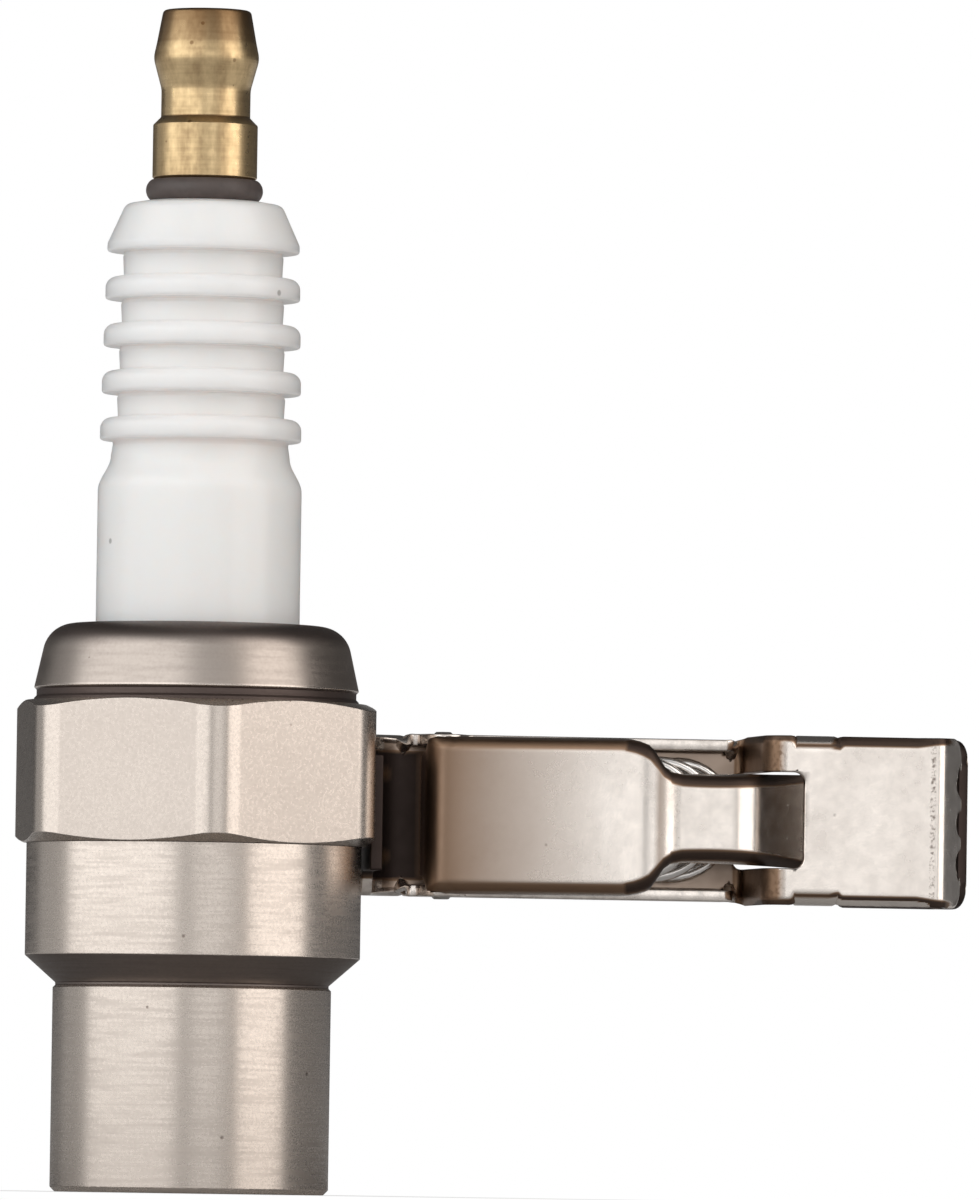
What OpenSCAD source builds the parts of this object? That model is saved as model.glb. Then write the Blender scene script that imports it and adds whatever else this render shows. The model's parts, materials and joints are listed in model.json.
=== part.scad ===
// Spark plug tester: a plug with an uncut, smooth barrel and a sprung ground clip
// pressed from sheet. Z is the plug's axis, X runs along the clip, Y from front to back.
// The origin is the centre of the barrel's mouth. Millimetres.

/* [Shell] */
// Diameter of the smooth barrel
barrel_d = 16.86; // [16.2:0.02:17.6]
// Length of the barrel up to the tapered seat
barrel_len = 12.5; // [11:0.5:15]
// Chamfer at the barrel's mouth
barrel_chamfer = 0.3; // [0.1:0.1:0.6]
// Bore of the barrel round the spark gap
barrel_bore_d = 13.2; // [12.4:0.1:14]
// Height of the tapered seat
seat_h = 1.8; // [1.4:0.1:2.4]
// Relief step between the barrel and the tapered seat
seat_relief = 0.15; // [0.05:0.05:0.3]
// Diameter of the body below the hexagon
body_d = 20.3; // [19.4:0.1:20.6]
// Length of the body below the hexagon
body_len = 6.8; // [6:0.2:9]
// Hexagon size across its flats
hex_af = 20.8; // [20.7:0.05:22]
// Diameter that the hexagon's corners are turned to
hex_corner_d = 23.36; // [22.8:0.02:23.8]
// Length of the hexagon
hex_len = 8.6; // [8:0.2:10]
// Drop of the chamfer at the hexagon's corners
hex_chamfer = 0.45; // [0.1:0.05:0.6]
// Diameter of the crimped collar
collar_d = 19.5; // [19.2:0.1:20]
// Height of the relieved band under the collar
collar_band = 1.0; // [0.6:0.1:1.4]
// Depth of the relieved band under the collar
collar_relief = 0.15; // [0.05:0.05:0.3]
// Straight height of the collar above its band
collar_side = 0.5; // [0.3:0.1:0.9]
// Radius that the collar is rolled over to
collar_roll = 3.2; // [3:0.1:3.4]
// Thickness of the rolled lip
crimp_lip = 1.0; // [0.8:0.1:1.2]
// Bore of the shell round the insulator's flange
shell_bore_d = 15.9; // [15.7:0.1:16.3]
// Bore of the shell's inner ledge
ledge_bore_d = 11.0; // [10.8:0.1:11.6]
// Height of the ledge's bore above the barrel's mouth
ledge_z = 16.4; // [15.8:0.2:17]
// Length of the ledge's bore
ledge_len = 1.4; // [1.2:0.1:1.6]

/* [Insulator] */
// Diameter of the smooth part above the collar
insulator_d = 12.36; // [12:0.02:12.6]
// Height of the insulator's top above the barrel's mouth
insulator_top = 60.1; // [59:0.1:63]
// Height of the shoulder from the smooth part to the waist
shoulder_h = 2.1; // [1.6:0.1:2.6]
// Depth at which the waist begins below the lowest rib
waist_h = 0.95; // [0.7:0.05:1.2]
// Diameter of the waist above the smooth part
waist_d = 10.84; // [10.4:0.02:11.2]
// Number of ribs
rib_count = 4; // [2:1:4]
// Depth of the lowest rib's underside below the insulator's top
rib_drop = 14.55; // [14.2:0.05:14.9]
// Spacing of the ribs
rib_pitch = 2.85; // [2.7:0.01:2.95]
// Thickness of a rib at its root
rib_thick = 1.45; // [1.2:0.05:1.7]
// Diameter of the lowest rib
rib_d = 12.2; // [11.8:0.02:12.4]
// Diameter lost from one rib to the next
rib_taper = 0.13; // [0:0.01:0.2]
// Rounding of the ribs' lower edges
rib_round = 0.2; // [0.1:0.05:0.3]
// Height at which a rib's rim begins to round back to the core
rib_brow = 0.45; // [0.35:0.05:0.6]
// Rounding of the other turned edges
edge_round = 0.5; // [0.3:0.05:0.6]
// Diameter of the core at the lowest rib
core_d = 10.2; // [9.8:0.02:10.6]
// Diameter of the core at the top skirt
core_top_d = 9.74; // [9.4:0.02:9.8]
// Diameter gained by the core from the top of a rib to the next rib's underside
core_flare = 0.2; // [0.1:0.02:0.3]
// Diameter of the top skirt's lower edge
skirt_d = 11.66; // [11.2:0.02:12]
// Height of the top skirt
skirt_h = 3.1; // [2.8:0.1:3.4]
// Diameter of the insulator's top face
top_d = 8.6; // [8:0.1:9]
// Fall of the top face from the rubber ring to its edge
top_fall = 0.2; // [0.1:0.05:0.3]
// Diameter of the flange held inside the shell
flange_d = 15.7; // [15.3:0.1:15.7]
// Height of the flange's upper shoulder
flange_top = 29.4; // [28.8:0.1:29.6]
// Bevel of the flange's upper edge
flange_bevel = 0.5; // [0.3:0.1:0.6]
// Height of the flange's lower edge
flange_bottom = 20.6; // [20.4:0.1:21]
// Diameter of the nose at the ledge
nose_d = 10.2; // [9.8:0.1:10.4]
// Diameter of the nose's tip
nose_tip_d = 6.0; // [5:0.1:7]
// Height of the nose's tip above the barrel's mouth
nose_tip_z = 7.2; // [6.8:0.1:8]

/* [Terminal] */
// Diameter of the nut's collar
nut_d = 6.35; // [6.2:0.01:6.5]
// Length of the nut's collar
nut_collar = 3.3; // [3:0.1:3.6]
// Chamfer between the nut's collar and neck
nut_chamfer = 0.48; // [0.3:0.02:0.6]
// Rounding of the nut's edges
nut_round = 0.25; // [0.15:0.05:0.35]
// Diameter of the nut's neck
nut_neck_d = 5.41; // [5.2:0.01:5.6]
// Length of the nut's neck
nut_neck = 1.7; // [1.2:0.1:2]
// Diameter of the nut's bulge
nut_bulge_d = 6.33; // [6.1:0.01:6.33]
// Height of the bulge above the neck
nut_bulge_rise = 1.7; // [1.4:0.1:2]
// Straight height of the nut's bulge
nut_band = 0.4; // [0.2:0.1:0.6]
// Diameter of the nut's top
nut_top_d = 5.05; // [4.8:0.05:5.3]
// Height of the nut's top above the bulge
nut_top_rise = 2.72; // [2.4:0.02:3.2]
// Diameter of the terminal stud
stud_d = 4.0; // [3.6:0.05:4.05]
// Length of the stud inside the nut
stud_grip = 5.6; // [5:0.1:6]
// Height of the stud's lower end
stud_foot = 30; // [28:0.5:34]
// Outer diameter of the rubber ring
o_ring_d = 7.1; // [6.9:0.05:7.4]
// Section of the rubber ring
o_ring_section = 1.3; // [1.1:0.05:1.4]
// Diameter of the centre electrode
electrode_d = 2.5; // [2.2:0.05:2.8]
// Height of the electrode's tip above the barrel's mouth
electrode_tip = 6.0; // [5.6:0.1:6.6]
// Height of the electrode's head
electrode_head = 1.0; // [0.8:0.1:1.4]
// Height of the seat under the electrode's head
head_seat = 23.5; // [22:0.5:25]
// Diameter of the electrode's copper core
electrode_core_d = 1.4; // [1.2:0.05:1.6]
// Metal left round the core's lower end
core_cover = 1.0; // [0.8:0.1:1.5]

/* [Packing] */
// Section of the two packing rings
packing_section = 1.2; // [1:0.05:1.3]
// Thickness of the washer on the ledge
washer_t = 0.4; // [0.3:0.05:0.5]

/* [Clip] */
// Thickness of the pressed sheet
sheet_t = 0.7; // [0.6:0.02:0.8]
// Centre of the clip above the hexagon's lower face
clip_rise = 2.1; // [1.8:0.1:4]
// Half height of the tab's free end on the hexagon
tab_half = 3.5; // [3.2:0.1:3.8]
// Reach of the tab in front of the plug's axis
tab_front = 3.0; // [2.4:0.1:3.6]
// Outer face of the base lever's web behind the plug's axis
web_back = 4.5; // [4.3:0.05:4.7]
// Half height of the base lever's channel
base_half = 4.94; // [4.9:0.02:5.1]
// Depth of the base lever's side walls
base_wall = 2.5; // [2.2:0.1:2.6]
// Middle radius of the pressed edges
edge_r = 0.9; // [0.8:0.02:0.95]
// Distance of the hinge pin from the hexagon's flat
pin_reach = 5.05; // [4.9:0.05:5.2]
// Diameter of the hinge pin
pin_d = 1.2; // [1:0.05:1.3]
// Height of the pin's riveted ends
pin_head = 0.15; // [0.1:0.05:0.3]
// Radius of the ears round the pin
ear_r = 1.5; // [1.4:0.05:1.55]
// Half height of the thumb lever's rolled eye
eye_half = 3.7; // [3.4:0.1:3.8]
// Half height of the thumb pad
pad_half = 4.79; // [4.6:0.01:4.8]
// Depth of the thumb pad's rolled edges
pad_wall = 1.7; // [1.5:0.05:1.8]
// Slope of the thumb pad
pad_slope = 13; // [12:0.5:14]
// End of the thumb pad from the plug's axis
pad_end = 27; // [26.5:0.1:27.4]
// Fall of the shoulder after the thumb pad
shoulder_slope = 15; // [10:1:18]
// Start of the neck from the plug's axis
neck_start = 29.4; // [29.2:0.1:29.8]
// End of the neck from the plug's axis
neck_end = 32.4; // [32:0.1:32.6]
// Half height of the neck and tongue
neck_half = 2.6; // [2.5:0.02:2.64]
// Depth of the neck's rolled edges
neck_wall = 1.55; // [1.5:0.02:1.6]
// Slope of the tongue
tongue_slope = 52; // [48:1:56]
// Clearance beside the tongue in the base lever's slot
slot_gap = 0.32; // [0.25:0.01:0.4]
// Start of the slot from the plug's axis
slot_start = 33.6; // [33.4:0.1:33.8]
// End of the slot in the front jaw from the plug's axis
slot_end = 37.3; // [37:0.1:37.6]
// Rounding of the slot's corners
slot_round = 0.6; // [0.3:0.1:1]
// End of the base lever's side walls from the plug's axis
base_wall_end = 33.2; // [33:0.1:33.4]
// Slope of the strips that rise to the front jaw
rise_slope = 86; // [82:0.5:88]
// Front face of the front jaw before the plug's axis
jaw_front = 2.9; // [2.7:0.05:3.1]
// Back face of the back jaw behind the plug's axis
jaw_back = 3.5; // [3.4:0.05:3.8]
// Half height of the jaws
jaw_half = 5.18; // [5.1:0.02:5.3]
// End of the front jaw's side ears from the plug's axis
jaw_ear_end = 38.9; // [38.6:0.1:39.4]
// Start of the jaws' nose bends from the plug's axis
nose_x = 45.3; // [44.8:0.1:46]
// Turn of the front jaw's nose
front_nose = 70; // [66:1:74]
// Turn of the back jaw's nose
back_nose = 62; // [58:1:66]
// Gap between the closed jaws
jaw_gap = 0.36; // [0.3:0.02:0.6]
// Spacing of the teeth on the front jaw
tooth_pitch = 2.42; // [2.3:0.02:2.5]
// Radius of the gaps between the teeth
tooth_r = 0.55; // [0.4:0.05:0.7]

/* [Clip bends] */
// Middle radius of the bend from the tab to the web
tab_bend = 2.2; // [1.8:0.05:2.3]
// Middle radius of the bend where the strips leave the web
rise_bend = 0.8; // [0.7:0.05:1]
// Middle radius of the bend where the strips meet the front jaw
jaw_bend = 1.2; // [1.1:0.05:1.4]
// Middle radius of the bend at the thumb pad's foot
pad_bend = 1.0; // [0.8:0.05:1.1]
// Length over which the thumb pad's edges roll in
pad_corner = 1.5; // [1.2:0.1:2]
// Middle radius of the bends on both sides of the shoulder
pad_knee = 2.4; // [2.2:0.1:2.6]
// Middle radius of the tongue's two bends
tongue_bend = 1.8; // [1.6:0.05:1.9]
// Middle radius of the jaws' nose bends
nose_bend = 0.8; // [0.7:0.05:0.9]
// Radius of the jaws' free corners
corner_r = 1.2; // [1:0.05:1.3]
// Length over which a side wall fades into flat sheet
wall_fade = 0.5; // [0.4:0.05:0.6]
// Straight hem past an edge that is hardly rolled
flat_hem = 0.3; // [0.2:0.05:0.35]
// Straight hem of the front jaw's side ears
ear_hem = 0.45; // [0.35:0.05:0.5]
// Roll of the front jaw's side ears in degrees
ear_roll = 80; // [70:1:85]
// Roll of the rising strips' edges in degrees
rise_roll = 20; // [10:1:25]
// Roll of the front jaw's edges past its ears in degrees
front_roll = 35; // [20:1:40]
// Roll of the jaws' edges at their noses in degrees
jaw_roll = 12; // [6:1:16]
// Roll of an edge where a wall begins in degrees
first_roll = 25; // [15:1:30]
// Roll of the tongue's edges after the neck in degrees
tongue_roll = 60; // [50:1:70]

/* [Spring] */
// Diameter of the spring's wire
wire_d = 0.7; // [0.6:0.02:0.76]
// Middle radius of the coil
coil_r = 3.5; // [3.3:0.05:3.55]
// Number of turns
coil_turns = 5; // [3:0.5:5]
// Centre of the coil on the base lever from the plug's axis
coil_web_x = 30.4; // [29:0.1:30.6]
// Centre of the coil on the thumb pad from the plug's axis
coil_pad_x = 24.2; // [24:0.1:24.6]

/* [Fits] */
// Gap between pieces that are set in one another
seat_gap = 0.02; // [0.01:0.005:0.04]
// Room between the thumb lever's eye and the base lever's web
eye_gap = 0.2; // [0.15:0.05:0.3]
// Running clearance of the thumb lever on its pin
pin_gap = 0.05; // [0.03:0.01:0.08]
// Room between the spring and the lever that moves
coil_gap = 0.3; // [0.25:0.05:0.4]

// Gap between the rolled lip and the insulator
crimp_gap = 0.08; // [0.05:0.01:0.1]

/* [Hidden] */
$fn = 96;
overshoot = 1;
arc_steps = 8;
small_steps = 4;

nickel = "#b9aea4";
bright_nickel = "#cfc6bd";
ceramic = "#f2eeee";
brass = "#b08a4a";
rubber = "#4a423e";
copper = "#b87333";
steel = "#9a9a9c";
mineral = "#d8d4cc";

// Heights along the plug's axis
cone_z = barrel_len + seat_h;
hex_z = cone_z + body_len;
hex_top = hex_z + hex_len;
collar_z = hex_top + collar_band;
roll_z = collar_z + collar_side;
collar_top = roll_z + collar_roll;
roll_x = collar_d / 2 - collar_roll;
cavity_top = collar_top - crimp_lip;
crimp_bore_r = insulator_d / 2 + crimp_gap;
lip_r = shell_bore_d / 2 - crimp_bore_r;
nut_z = insulator_top + o_ring_section + 2 * seat_gap;
stud_top = nut_z + stud_grip;

// Inner ledge of the shell, parallel to the insulator's lower shoulder
shoulder_fall = flange_bottom - ledge_z - ledge_len;
ledge_top = ledge_z + ledge_len;

// Points of an arc about [cx, cy] from angle a0 to a1
function arc(cx, cy, r, a0, a1, n = arc_steps) = [
    for (k = [0:n]) let (a = a0 + (a1 - a0) * k / n) [cx + r * cos(a), cy + r * sin(a)]
];
function mix(a, b, t) = a + (b - a) * t;

// Points that ease from one radius and height to another in an S
function ease(r0, z0, r1, z1) = [
    for (k = [0:arc_steps]) let (t = k / arc_steps) [mix(r0, r1, (1 - cos(180 * t)) / 2), mix(z0, z1, t)]
];

// Unit vectors along a heading and to its left
function along(a) = [cos(a), sin(a)];
function left_of(a) = [-sin(a), cos(a)];
// Shift along an arc of radius r that turns from heading a0 to a1
function turn_shift(r, a0, a1) = sign(a1 - a0) * r * (left_of(a0) - left_of(a1));

// Shell

module shell_outline() {
    relief_r = barrel_d / 2 - seat_relief;
    band_r = collar_d / 2 - collar_relief;
    polygon(concat(
        [[0, 0], [barrel_d / 2 - barrel_chamfer, 0], [barrel_d / 2, barrel_chamfer]],
        [[barrel_d / 2, barrel_len - seat_relief], [relief_r, barrel_len]],
        [[relief_r, barrel_len + seat_relief]],
        [[body_d / 2, cone_z], [body_d / 2, hex_z + overshoot], [band_r, hex_z + overshoot]],
        [[band_r, collar_z], [collar_d / 2, collar_z + collar_relief]],
        arc(roll_x, roll_z, collar_roll, 0, 90),
        [[crimp_bore_r, collar_top], [0, collar_top]]
    ));
}

module shell_hollow() {
    mouth_r = barrel_bore_d / 2;
    polygon(concat(
        [[0, -overshoot], [mouth_r, -overshoot], [mouth_r, ledge_z - (mouth_r - ledge_bore_d / 2)]],
        [[ledge_bore_d / 2, ledge_z], [ledge_bore_d / 2, ledge_top]],
        [[shell_bore_d / 2, ledge_top + shoulder_fall], [shell_bore_d / 2, cavity_top - lip_r]],
        arc(crimp_bore_r, cavity_top - lip_r, lip_r, 0, 90),
        [[crimp_bore_r, collar_top + overshoot], [0, collar_top + overshoot]]
    ));
}

module hexagon() {
    flat_r = hex_af / 2;
    corner_r = hex_corner_d / 2;
    intersection() {
        translate([0, 0, hex_z])
            rotate(30)
                cylinder(r = flat_r / cos(30), h = hex_len, $fn = 6);
        rotate_extrude()
            polygon([
                [0, hex_z], [flat_r, hex_z], [corner_r, hex_z + hex_chamfer],
                [corner_r, hex_top - hex_chamfer], [flat_r, hex_top], [0, hex_top]
            ]);
    }
}

module shell() {
    color(nickel)
        difference() {
            union() {
                rotate_extrude() shell_outline();
                hexagon();
            }
            rotate_extrude() shell_hollow();
        }
}

// Insulator

skirt_z = insulator_top - skirt_h;
rib_z = insulator_top - rib_drop;
waist_z = rib_z - waist_h;
smooth_top = waist_z - shoulder_h;
bore_r = stud_d / 2 + seat_gap;
electrode_bore_r = electrode_d / 2 + seat_gap;
function core_r(z) = mix(core_d, core_top_d, (z - rib_z) / (skirt_z - rib_z)) / 2;

brim_z = insulator_top - top_fall;
skirt_lean = atan2((skirt_d - top_d) / 2, skirt_h);

// One rib: a flat underside, an upright rim and a round brow that falls back to the core
function rib(k) =
    let (z = rib_z + k * rib_pitch, r = (rib_d - k * rib_taper) / 2)
    let (root = core_r(z) - core_flare / 4, brow_z = z + rib_brow, rise = rib_thick - rib_brow)
    concat(
        [[core_r(z) + core_flare / 4, z]],
        arc(r - rib_round, z + rib_round, rib_round, -90, 0, small_steps),
        [for (i = [0:arc_steps]) let (a = 90 * i / arc_steps)
            [root + (r - root) * cos(a), brow_z + rise * sin(a)]]
    );

module insulator_outline() {
    smooth_r = insulator_d / 2;
    nose_r = nose_d / 2;
    tip_r = nose_tip_d / 2;
    flange_r = flange_d / 2;
    polygon(concat(
        [[electrode_bore_r, nose_tip_z], [tip_r - edge_round, nose_tip_z]],
        [[tip_r, nose_tip_z + edge_round]],
        [[nose_r, ledge_z], [nose_r, ledge_top + washer_rise]],
        [[flange_r, flange_bottom + washer_rise], [flange_r, flange_top - flange_bevel]],
        [[flange_r - flange_bevel, flange_top], [smooth_r, flange_top]],
        ease(smooth_r, smooth_top, waist_d / 2, waist_z),
        [for (k = [0:rib_count - 1]) each rib(k)],
        [[core_r(skirt_z) + core_flare / 4, skirt_z]],
        arc(skirt_d / 2 - rib_round, skirt_z + rib_round, rib_round, -90, skirt_lean, small_steps),
        arc(top_d / 2 - edge_round, brim_z - edge_round, edge_round, skirt_lean, 90, small_steps),
        [[o_ring_d / 2, insulator_top], [bore_r, insulator_top]],
        [[bore_r, head_seat], [electrode_bore_r, head_seat]]
    ));
}

// The washer's thickness, measured along the axis on the sloped seat
seat_angle = atan2(shoulder_fall, (shell_bore_d - ledge_bore_d) / 2);
washer_rise = (washer_t + 2 * seat_gap) / cos(seat_angle);

module insulator() {
    color(ceramic)
        rotate_extrude() insulator_outline();
}

// Terminal

module nut_outline() {
    collar_top_z = nut_z + nut_collar;
    neck_z = collar_top_z + nut_chamfer;
    neck_top = neck_z + nut_neck;
    bulge_z = neck_top + nut_bulge_rise;
    band_top = bulge_z + nut_band;
    top_z = band_top + nut_top_rise;
    collar_r = nut_d / 2;
    neck_r = nut_neck_d / 2;
    hole_r = stud_d / 2 + seat_gap;
    top_lean = atan2((nut_bulge_d - nut_top_d) / 2, nut_top_rise);
    polygon(concat(
        [[hole_r, nut_z], [collar_r - nut_round, nut_z], [collar_r, nut_z + nut_round]],
        [[collar_r, collar_top_z], [neck_r, neck_z], [neck_r, neck_top]],
        [[nut_bulge_d / 2, bulge_z], [nut_bulge_d / 2, band_top]],
        arc(nut_top_d / 2 - edge_round, top_z - edge_round, edge_round, top_lean, 90, small_steps),
        [[0, top_z], [0, stud_top + seat_gap], [hole_r, stud_top + seat_gap]]
    ));
}

module terminal_nut() {
    color(brass)
        rotate_extrude() nut_outline();
}

module terminal_stud() {
    color(steel)
        translate([0, 0, stud_foot])
            cylinder(d = stud_d, h = stud_top - stud_foot);
}

module o_ring() {
    color(rubber)
        translate([0, 0, insulator_top + seat_gap + o_ring_section / 2])
            rotate_extrude()
                translate([(o_ring_d - o_ring_section) / 2, 0]) circle(d = o_ring_section);
}

// Electrode and its seal

head_z = head_seat + seat_gap;

module centre_electrode() {
    color(steel)
        rotate_extrude()
            polygon([
                [0, electrode_tip], [electrode_d / 2, electrode_tip], [electrode_d / 2, head_z],
                [stud_d / 2, head_z], [stud_d / 2, head_z + electrode_head],
                [electrode_core_d / 2, head_z + electrode_head],
                [electrode_core_d / 2, electrode_tip + core_cover], [0, electrode_tip + core_cover]
            ]);
}

module electrode_core() {
    foot_z = electrode_tip + core_cover + seat_gap;
    color(copper)
        translate([0, 0, foot_z])
            cylinder(d = electrode_core_d - 2 * seat_gap, h = head_z + electrode_head - foot_z);
}

module glass_seal() {
    seal_z = head_z + electrode_head + seat_gap;
    color(mineral)
        translate([0, 0, seal_z])
            cylinder(d = stud_d, h = stud_foot - seat_gap - seal_z);
}

// Packing under the crimp

packing_r = (insulator_d + shell_bore_d) / 4;
roll_room = lip_r - packing_section / 2 - seat_gap;
upper_ring_z = cavity_top - lip_r + sqrt(pow(roll_room, 2) - pow(packing_r - crimp_bore_r, 2));
lower_ring_z = flange_top + packing_section / 2 + seat_gap;

module packing_ring(z) {
    color(steel)
        translate([0, 0, z])
            rotate_extrude()
                translate([packing_r, 0]) circle(d = packing_section);
}

module upper_packing_ring() {
    packing_ring(upper_ring_z);
}

module lower_packing_ring() {
    packing_ring(lower_ring_z);
}

module talc_packing() {
    fill_z = lower_ring_z + packing_section / 2 + seat_gap;
    fill_h = upper_ring_z - packing_section / 2 - seat_gap - fill_z;
    color(mineral)
        translate([0, 0, fill_z])
            difference() {
                cylinder(d = shell_bore_d - 2 * seat_gap, h = fill_h);
                translate([0, 0, -overshoot])
                    cylinder(d = insulator_d + 2 * seat_gap, h = fill_h + 2 * overshoot);
            }
}

module seat_washer() {
    inner_r = ledge_bore_d / 2 + washer_t;
    outer_r = shell_bore_d / 2 - washer_t;
    lift = seat_gap / cos(seat_angle);
    rise = washer_t / cos(seat_angle);
    function seat_z(r) = ledge_top + (r - ledge_bore_d / 2) * tan(seat_angle) + lift;
    color(copper)
        rotate_extrude()
            polygon([
                [inner_r, seat_z(inner_r)], [outer_r, seat_z(outer_r)],
                [outer_r, seat_z(outer_r) + rise], [inner_r, seat_z(inner_r) + rise]
            ]);
}

// Pressed sheet: a strip that runs along a bent path and has its two long edges rolled.
// A section is [half height, roll of the edges in degrees, straight hem past the roll].

roll_len = edge_r * PI / 2;
roll_steps = 4;
run_step = 1.6;
turn_step = 15;

// Height that a rolled edge and its hem take from the half height
function edge_reach(roll, hem) =
    let (bend = abs(roll) < 1 ? roll_len : roll_len * sin(roll) / (roll * PI / 180))
    bend + hem * cos(roll) + sheet_t / 2 * abs(sin(roll));

// Middle line of half a section, from the web to the hem's end, as [depth, height, angle]
function half_section(section) =
    let (roll = abs(section[1]) < 1 ? 1 : section[1], hem = section[2])
    let (web = section[0] - edge_reach(roll, hem), r = roll_len / (roll * PI / 180))
    let (rolled = [for (k = [0:roll_steps]) let (a = roll * k / roll_steps)
        [r * (1 - cos(a)), web + r * sin(a), a]])
    let (last = rolled[roll_steps])
    concat(rolled, [[last[0] + hem * sin(roll), last[1] + hem * cos(roll), roll]]);

// Closed ring of one section as [depth, height]: the outer side up, then the inner side down
function section_ring(section) =
    let (half = half_section(section), n = len(half))
    let (line = concat([for (k = [n - 1:-1:0]) [half[k][0], -half[k][1], -half[k][2]]], half))
    let (side = [for (p = line) [-cos(p[2]), sin(p[2])] * sheet_t / 2])
    concat(
        [for (k = [0:2 * n - 1]) [line[k][0], line[k][1]] + side[k]],
        [for (k = [2 * n - 1:-1:0]) [line[k][0], line[k][1]] - side[k]]
    );

// Stations of a path: each row is [run, turn, radius, section at the row's end]
function stations(point, heading, section, rows, i = 0) =
    i == len(rows) ? [] :
    let (run = rows[i][0], turn = rows[i][1], radius = rows[i][2], last = rows[i][3])
    let (arc_len = radius * abs(turn) * PI / 180, total = run + arc_len)
    let (n_run = ceil(run / run_step), n_turn = ceil(abs(turn) / turn_step))
    let (knee = point + run * along(heading))
    concat(
        [for (k = [1:1:n_run]) let (s = run * k / n_run)
            [point + s * along(heading), heading, mix(section, last, s / total)]],
        [for (k = [1:1:n_turn]) let (a = turn * k / n_turn)
            [knee + turn_shift(radius, heading, heading + a), heading + a,
             mix(section, last, (run + arc_len * k / n_turn) / total)]],
        stations(knee + (turn == 0 ? [0, 0] : turn_shift(radius, heading, heading + turn)),
                 heading + turn, last, rows, i + 1)
    );

// The strip itself; side is 1 where rolled edges turn to the left of the path and -1 to the right
module pressed_strip(point, heading, section, rows, side) {
    path = concat([[point, heading, section]], stations(point, heading, section, rows));
    n = len(section_ring(section));
    points = [for (s = path) for (p = section_ring(s[2]))
        let (xy = s[0] + side * p[0] * left_of(s[1])) [xy.x, xy.y, clip_z + p[1]]];
    skin = [for (i = [0:len(path) - 2]) for (k = [0:n - 1])
        let (a = i * n + k, b = i * n + (k + 1) % n) each [[a, b, a + n], [b, b + n, a + n]]];
    start = [for (k = [0:n / 2 - 2])
        let (a = k, c = n - 1 - k) each [[a, c, c - 1], [a, c - 1, a + 1]]];
    shift = (len(path) - 1) * n;
    finish = [for (f = start) [f[2] + shift, f[1] + shift, f[0] + shift]];
    faces = concat(skin, start, finish);
    polyhedron(points, side > 0 ? faces : [for (f = faces) [f[2], f[1], f[0]]]);
}

// Hem that brings a side wall to a given depth behind the strip's outer face
function hem_for(wall) = wall - edge_r - sheet_t / 2;

// Clip

clip_z = hex_z + clip_rise;
flat_x = max(hex_af, body_d + 2 * seat_gap) / 2;
web_y = web_back - sheet_t / 2;
pin_x = flat_x + pin_reach;
eye_r = pin_d / 2 + pin_gap + sheet_t;
pin_y = web_back - sheet_t - eye_r - eye_gap;
slot_half = neck_half + slot_gap;

// Steps that round the free corners of a jaw: a quarter circle in height against run
corner_steps = 5;
rounded_end = [
    for (k = [1:corner_steps]) let (a0 = 90 * (k - 1) / corner_steps, a1 = 90 * k / corner_steps)
        [corner_r * (sin(a1) - sin(a0)), 0, 0, [jaw_half - corner_r * (1 - cos(a1)), 0, flat_hem]]
];

// Run of a jaw's lip from its nose bend to the gap between the jaws
function lip_run(depth, nose) =
    (depth - jaw_gap / 2 - nose_bend * (1 - cos(nose)) - sheet_t / 2 * cos(nose)) / sin(nose);

// Base lever
tab_run = tab_front + web_y - tab_bend;
web_start = flat_x + sheet_t / 2 + tab_bend;
jaw_y = sheet_t / 2 - jaw_front;
rise_bends = rise_bend + jaw_bend;
rise_run = (web_y - jaw_y - rise_bends * (1 - cos(rise_slope))) / sin(rise_slope);
rise_x = base_wall_end + wall_fade + rise_bends * sin(rise_slope) + rise_run * cos(rise_slope);
front_lip = lip_run(-jaw_y, front_nose);
front_tip = [nose_x, jaw_y] + turn_shift(nose_bend, 0, front_nose) + front_lip * along(front_nose);
ear_steps = 8;

// Depth of the side walls at dx from the pin: ears round the pin, and the plain wall elsewhere
function ear_depth(dx) = max(base_wall, web_back - pin_y + sqrt(max(0, ear_r * ear_r - dx * dx)));

base_rows = concat(
    [[tab_run - corner_r, 0, 0, [tab_half, 0, flat_hem]]],
    [[corner_r, 0, 0, [base_half, 0, flat_hem]]],
    [[0, -90, tab_bend, [base_half, first_roll, flat_hem]]],
    [[wall_fade, 0, 0, [base_half, 90, hem_for(base_wall)]]],
    [[pin_x - ear_r - web_start - wall_fade, 0, 0, [base_half, 90, hem_for(base_wall)]]],
    [for (k = [1:ear_steps])
        let (x0 = -ear_r * cos(180 * (k - 1) / ear_steps), x1 = -ear_r * cos(180 * k / ear_steps))
        [x1 - x0, 0, 0, [base_half, 90, hem_for(ear_depth(x1))]]],
    [[base_wall_end - pin_x - ear_r, 0, 0, [base_half, 90, hem_for(base_wall)]]],
    [[wall_fade, 0, 0, [base_half, 0, flat_hem]]],
    [[0, -rise_slope, rise_bend, [jaw_half, -rise_roll, flat_hem]]],
    [[rise_run, rise_slope, jaw_bend, [jaw_half, -rise_roll, flat_hem]]],
    [[wall_fade, 0, 0, [jaw_half, -ear_roll, ear_hem]]],
    [[jaw_ear_end - rise_x - wall_fade, 0, 0, [jaw_half, -ear_roll, ear_hem]]],
    [[wall_fade, 0, 0, [jaw_half, -front_roll, flat_hem]]],
    [[nose_x - corner_r - jaw_ear_end - wall_fade, 0, 0, [jaw_half, -front_roll, flat_hem]]],
    [[corner_r, front_nose, nose_bend, [jaw_half, -jaw_roll, flat_hem]]],
    [[front_lip - corner_r, 0, 0, [jaw_half, 0, flat_hem]]],
    rounded_end
);

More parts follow.
